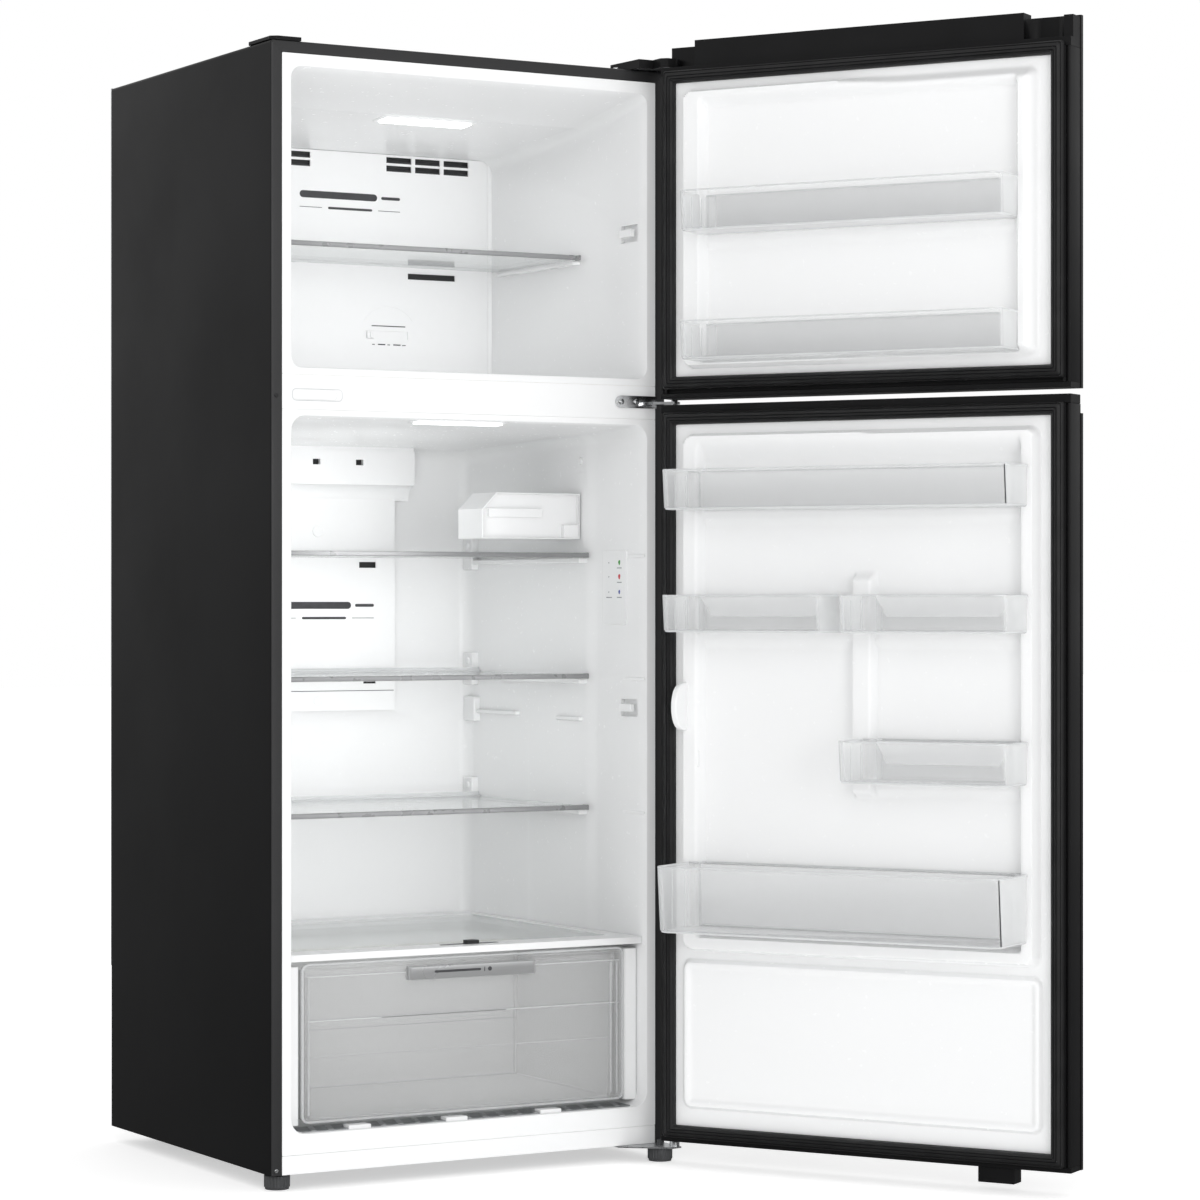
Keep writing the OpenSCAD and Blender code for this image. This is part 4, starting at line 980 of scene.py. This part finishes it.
def door_liner(door, height, outer):
    """A door's moulded liner, as one sheet with its raised border and bands."""
    body = door + "_door"
    turn = door_turn(body)
    low, high = span(body + "_liner", turn)
    inset = 12
    z_edges = [outer[1], outer[1] + 15, outer[3], outer[3] - 15, outer[3] - 40]
    x_edges = [outer[0], outer[2], outer[0] + 30, outer[2] - 30]
    if door == "freezer":
        z_edges += [1462, 1480]
    else:
        z_edges += [93, 110, 331, 344, 366, 600, 935, 1022, 1043, 832, 852, 603, 623]
        x_edges += [-29, 5, -30]
    xs = grid_lines(low.x + inset, high.x - inset, x_edges)
    zs = grid_lines(low.z + inset, high.z - inset, z_edges, reach=20)
    bm = bmesh.new()
    moulded_sheet(bm, xs, zs, lambda x, z: height(x, z, outer, low.y + 2.2), low.y)
    piece(body + "_moulded_liner", body, "liner_white", bm, turn, smooth=50, replaces=[body + "_liner"])


def door_hook():
    """The white tongue on the fridge door's hinge side, and the small clip below it."""
    body = "fridge_door"
    turn = door_turn(body)
    low, high = 694, 769
    reach = 38
    outline = [(-2, low)]
    for i in range(17):
        a = math.radians(-90 + 180 * i / 16)
        outline.append((6 + reach * max(math.cos(a), 0) ** 0.7, (low + high) / 2 + (high - low) / 2 * math.sin(a)))
    outline.append((-2, high))
    bm = bmesh.new()
    prism(bm, outline, 290, 300, "x")
    piece("fridge_door_tongue", body, "liner_white", bm, turn, edge=2.5, segments=4)
    clip = bmesh.new()
    block(clip, (272, -6, 636), (286, 4, 662))
    piece("fridge_door_clip", body, "liner_white", clip, turn, edge=2, segments=3)


# ---------------------------------------------------------------- clear bins

WALL = 2.4


def bin_outline(x0, x1, back, front, tuck, inset, lean, r, steps=6):
    """Plan of a bin, anticlockwise from its rear left corner; tuck is (low x, high x, y) or None."""
    x0, x1 = x0 + inset, x1 - inset
    back, front = back + inset, front - inset - lean
    r = max(r - inset, 3)
    points = [(x0, back), (x1, back)]
    if tuck:
        left, right = max(tuck[0], x0 - inset) + inset, min(tuck[1], x1 + inset) - inset
        points[1:1] = [(left, back), (left, tuck[2] + inset), (right, tuck[2] + inset), (right, back)]
    return points + arc(x1 - r, front - r, r, 0, 90, steps) + arc(x0 + r, front - r, r, 90, 90, steps)


def door_bin(node, tuck, shade_strip):
    """A clear bin on the body of its node's name: drafted walls, rounded rim and foot, and a pale see-through strip
    near its back as painted shade for the grey seen behind its front.
    """
    body = node
    turn = door_turn("freezer_door" if node.startswith("freezer") else "fridge_door")
    low, high = span(node, turn)
    deep = high.y - max(low.y, 7 if tuck else low.y)
    back = 7 if tuck else low.y
    hole = (tuck[0], tuck[1], low.y) if tuck else None
    tall = high.z - low.z

    def ring(z, inset):
        share = clamp((z - low.z) / tall)
        lean = 0.09 * tall * (1 - share)
        return flat_ring(bin_outline(low.x, high.x, back, high.y, hole, inset + 1.2 * (1 - share), lean, 18), z)

    bm = bmesh.new()
    z0, z1 = low.z, high.z
    rows = ((z0, 3.0), (z0, 2.2), (z0 + 0.8, 0.8), (z0 + 2.2, 0.2), (z0 + 5, 0.4), (z1 - 4, 0.5), (z1 - 3.4, 0),
            (z1 - 0.6, 0), (z1, 0.6), (z1, WALL - 0.5), (z1 - 0.6, WALL), (z0 + 6, WALL + 0.2),
            (z0 + WALL + 0.8, WALL + 1.6), (z0 + WALL, WALL + 3.4))
    loft(bm, [ring(*row) for row in rows])
    piece(node + "_clear", body, "clear_plastic", bm, turn, smooth=50, replaces=[node])
    rim = bmesh.new()
    for rows in (((z1 - 2.2, -0.15), (z1 + 0.1, 0.3), (z1 + 0.1, WALL - 0.2), (z1 - 2.2, WALL + 0.15)),
                 ((z0 - 0.1, 2.6), (z0 + 0.6, 0.7), (z0 + 2.6, 0.05), (z0 + 2.8, 1.4), (z0 + 0.6, 3.6))):
        loft(rim, [ring(*row) for row in rows], loop=True)
    piece(node + "_edges", body, "rim_plastic", rim, turn, smooth=60)
    # Inside the back wall, a pale see-through strip as painted shade, reaching half or nearly all of the bin's height.
    strip = bmesh.new()
    bottom, top = z0 + (0.42 if shade_strip == "half" else 0.06) * tall, z1 - 2.5
    slant = 19 if shade_strip == "half" else 1
    left, right = low.x + 25, high.x - 25
    points = [(left + slant, bottom), (right - slant, bottom), (right, top), (left, top)]
    prism(strip, points, back + WALL + 0.6, back + WALL + 1.5, "y")
    piece(node + "_frost", body, "painted_bin_shade", strip, turn, edge=0.3)
    lean = 0.09 * tall
    # Thin upright bars near the bin's ends: a rim-plastic line at one end and, on the full-width tucked bins, a dark
    # grey bar at the other as painted shade in the fold.
    for name, look, x in (("outline", "rim_plastic", high.x - 3.2), ("crease_shade", "foot_grey", low.x + 1.4)):
        if name == "crease_shade" and (shade_strip == "half" or not tuck):
            continue
        line = bmesh.new()
        y = high.y - 12
        loft(line, [[(x, y - lean, z0 + 3), (x + 1.8, y - lean, z0 + 3), (x + 1.8, y, z1 - 1), (x, y, z1 - 1)],
                    [(x, y - lean + 1.8, z0 + 3), (x + 1.8, y - lean + 1.8, z0 + 3), (x + 1.8, y + 1.8, z1 - 1),
                     (x, y + 1.8, z1 - 1)]])
        piece(f"{node}_{name}", body, look, line, turn, edge=0.4)
    ribs = bmesh.new()
    for x in (low.x + 9, high.x - 11):
        for y in (back + 0.25 * deep, back + 0.62 * deep):
            block(ribs, (x, y, z0 + 3), (x + 1.6, y + 1.6, z1 - 8))
    piece(node + "_side_ribs", body, "rim_plastic", ribs, turn, edge=0.4)


# ---------------------------------------------------------------- putting it together

def dress_the_rest():
    """CAD nodes that stay in view as they are, each with its material and edge rounding."""
    for look, edges in (
        ("back_steel", {"back_panel": 0.8}),
        ("foam", {"insulation": 0}),
        ("trim_white", {"mullion_rail": 1.0, "kick_plate": 1.2, "freezer_temp_slider": 0.6, "side_rack": 1.0,
                        "freezer_door_switch": 1.0, "fridge_door_switch": 1.0}),
        ("base_steel", {"base_frame": 0.6}),
        ("compressor_black", {"compressor": 1.5}),
        ("black_plastic", {"bay_cover": 0.6, "fan_rotor": 0.4}),
        ("gasket_black", {"cord_gland": 0.4}),
        ("fin_aluminium", {"evaporator": 0}),
        ("zinc_steel", {"top_hinge": 0.5, "bottom_hinge": 0.4}),
        ("cap_black", {"top_hinge_cover": 1.2, "blank_hinge_cover": 1.2, "freezer_door_cap": 0.9,
                       "fridge_door_cap": 0.9, "fridge_door_block": 1.0}),
        ("hinge_chrome", {"middle_hinge": 0.5}),
        ("foot_grey", {"foot_left": 0.4, "foot_right": 0.4, "rear_rollers": 0.8}),
        ("door_black", {"freezer_door_panel": 0.5, "fridge_door_panel": 0.5}),
    ):
        for node, edge in edges.items():
            dress(node, look, edge)


def build():
    """Every piece, from the cabinet to the door bins."""
    dress_the_rest()
    cabinet_wrap()
    freezer_liner()
    fridge_liner()
    shelf_ledges()
    screw_heads()
    freezer_panel_details()
    fridge_duct_details()
    label_panel()
    mullion_plate()
    lamp_frames()
    for glass in ("freezer_shelf", "fridge_shelf_upper", "fridge_shelf_middle", "fridge_shelf_lower"):
        shelf(glass)
    crisper_cover()
    crisper()
    tabs_under_drawer()
    under_sheet()
    for door, height, outer in (("freezer", freezer_door_height, (-302, 1267, 302, 1709)),
                                ("fridge", fridge_door_height, (-302, 90, 302, 1164))):
        door_frame(door)
        door_gasket(door)
        door_liner(door, height, outer)
    door_hook()
    for node, tuck, shade_strip in (("freezer_bin_upper", None, "full"), ("freezer_bin_lower", None, "full"),
                              ("fridge_bin_top", (-270, 270), "full"), ("fridge_bin_middle_hinge", (20, 270), "half"),
                              ("fridge_bin_middle_grip", (-270, -38), "half"), ("fridge_bin_low", (-270, -38), "half"),
                              ("fridge_bin_bottom", (-270, 270), "full")):
        door_bin(node, tuck, shade_strip)


scene.view_settings.view_transform = "Standard"
scene.cycles.transparent_max_bounces = 32
LOOKS = make_materials()
add_camera()
add_world()
add_floor()
# Three soft boxes in front, one from the side for highlights only, and the glow inside each space.
add_lamp("key", (-3.2, -4.6, 3.0), (0.2, 0.1, 0.9), (2.4, 2.4), 40)
add_lamp("front", (-0.3, -6.0, 1.2), (0.0, 0.3, 0.9), (2.0, 2.0), 57)
add_lamp("front_right", (2.6, -4.8, 1.4), (-0.3, 0.0, 0.9), (1.6, 2.2), 14)
side_lamp = add_lamp("side", (-5.0, 1.5, 3.2), (-0.3, 0.3, 1.4), (1.6, 1.6), 20)
side_lamp.visible_diffuse = False
for name, place, target, size, watts in (
    ("freezer_glow", (0, 0.03, 1.45), (0, 0.5, 1.45), (0.5, 0.3), 0.38),
    ("fridge_glow", (-0.03, 0.03, 0.66), (-0.03, 0.5, 0.68), (0.5, 0.5), 0.75),
    ("fridge_top_glow", (-0.15, 0.04, 1.01), (-0.02, 0.56, 1.0), (0.2, 0.14), 0.34),
):
    glow = add_lamp(name, place, target, size, watts)
    glow.visible_glossy = False
    glow.data.spread = math.radians(GLOW_SPREAD)
build()
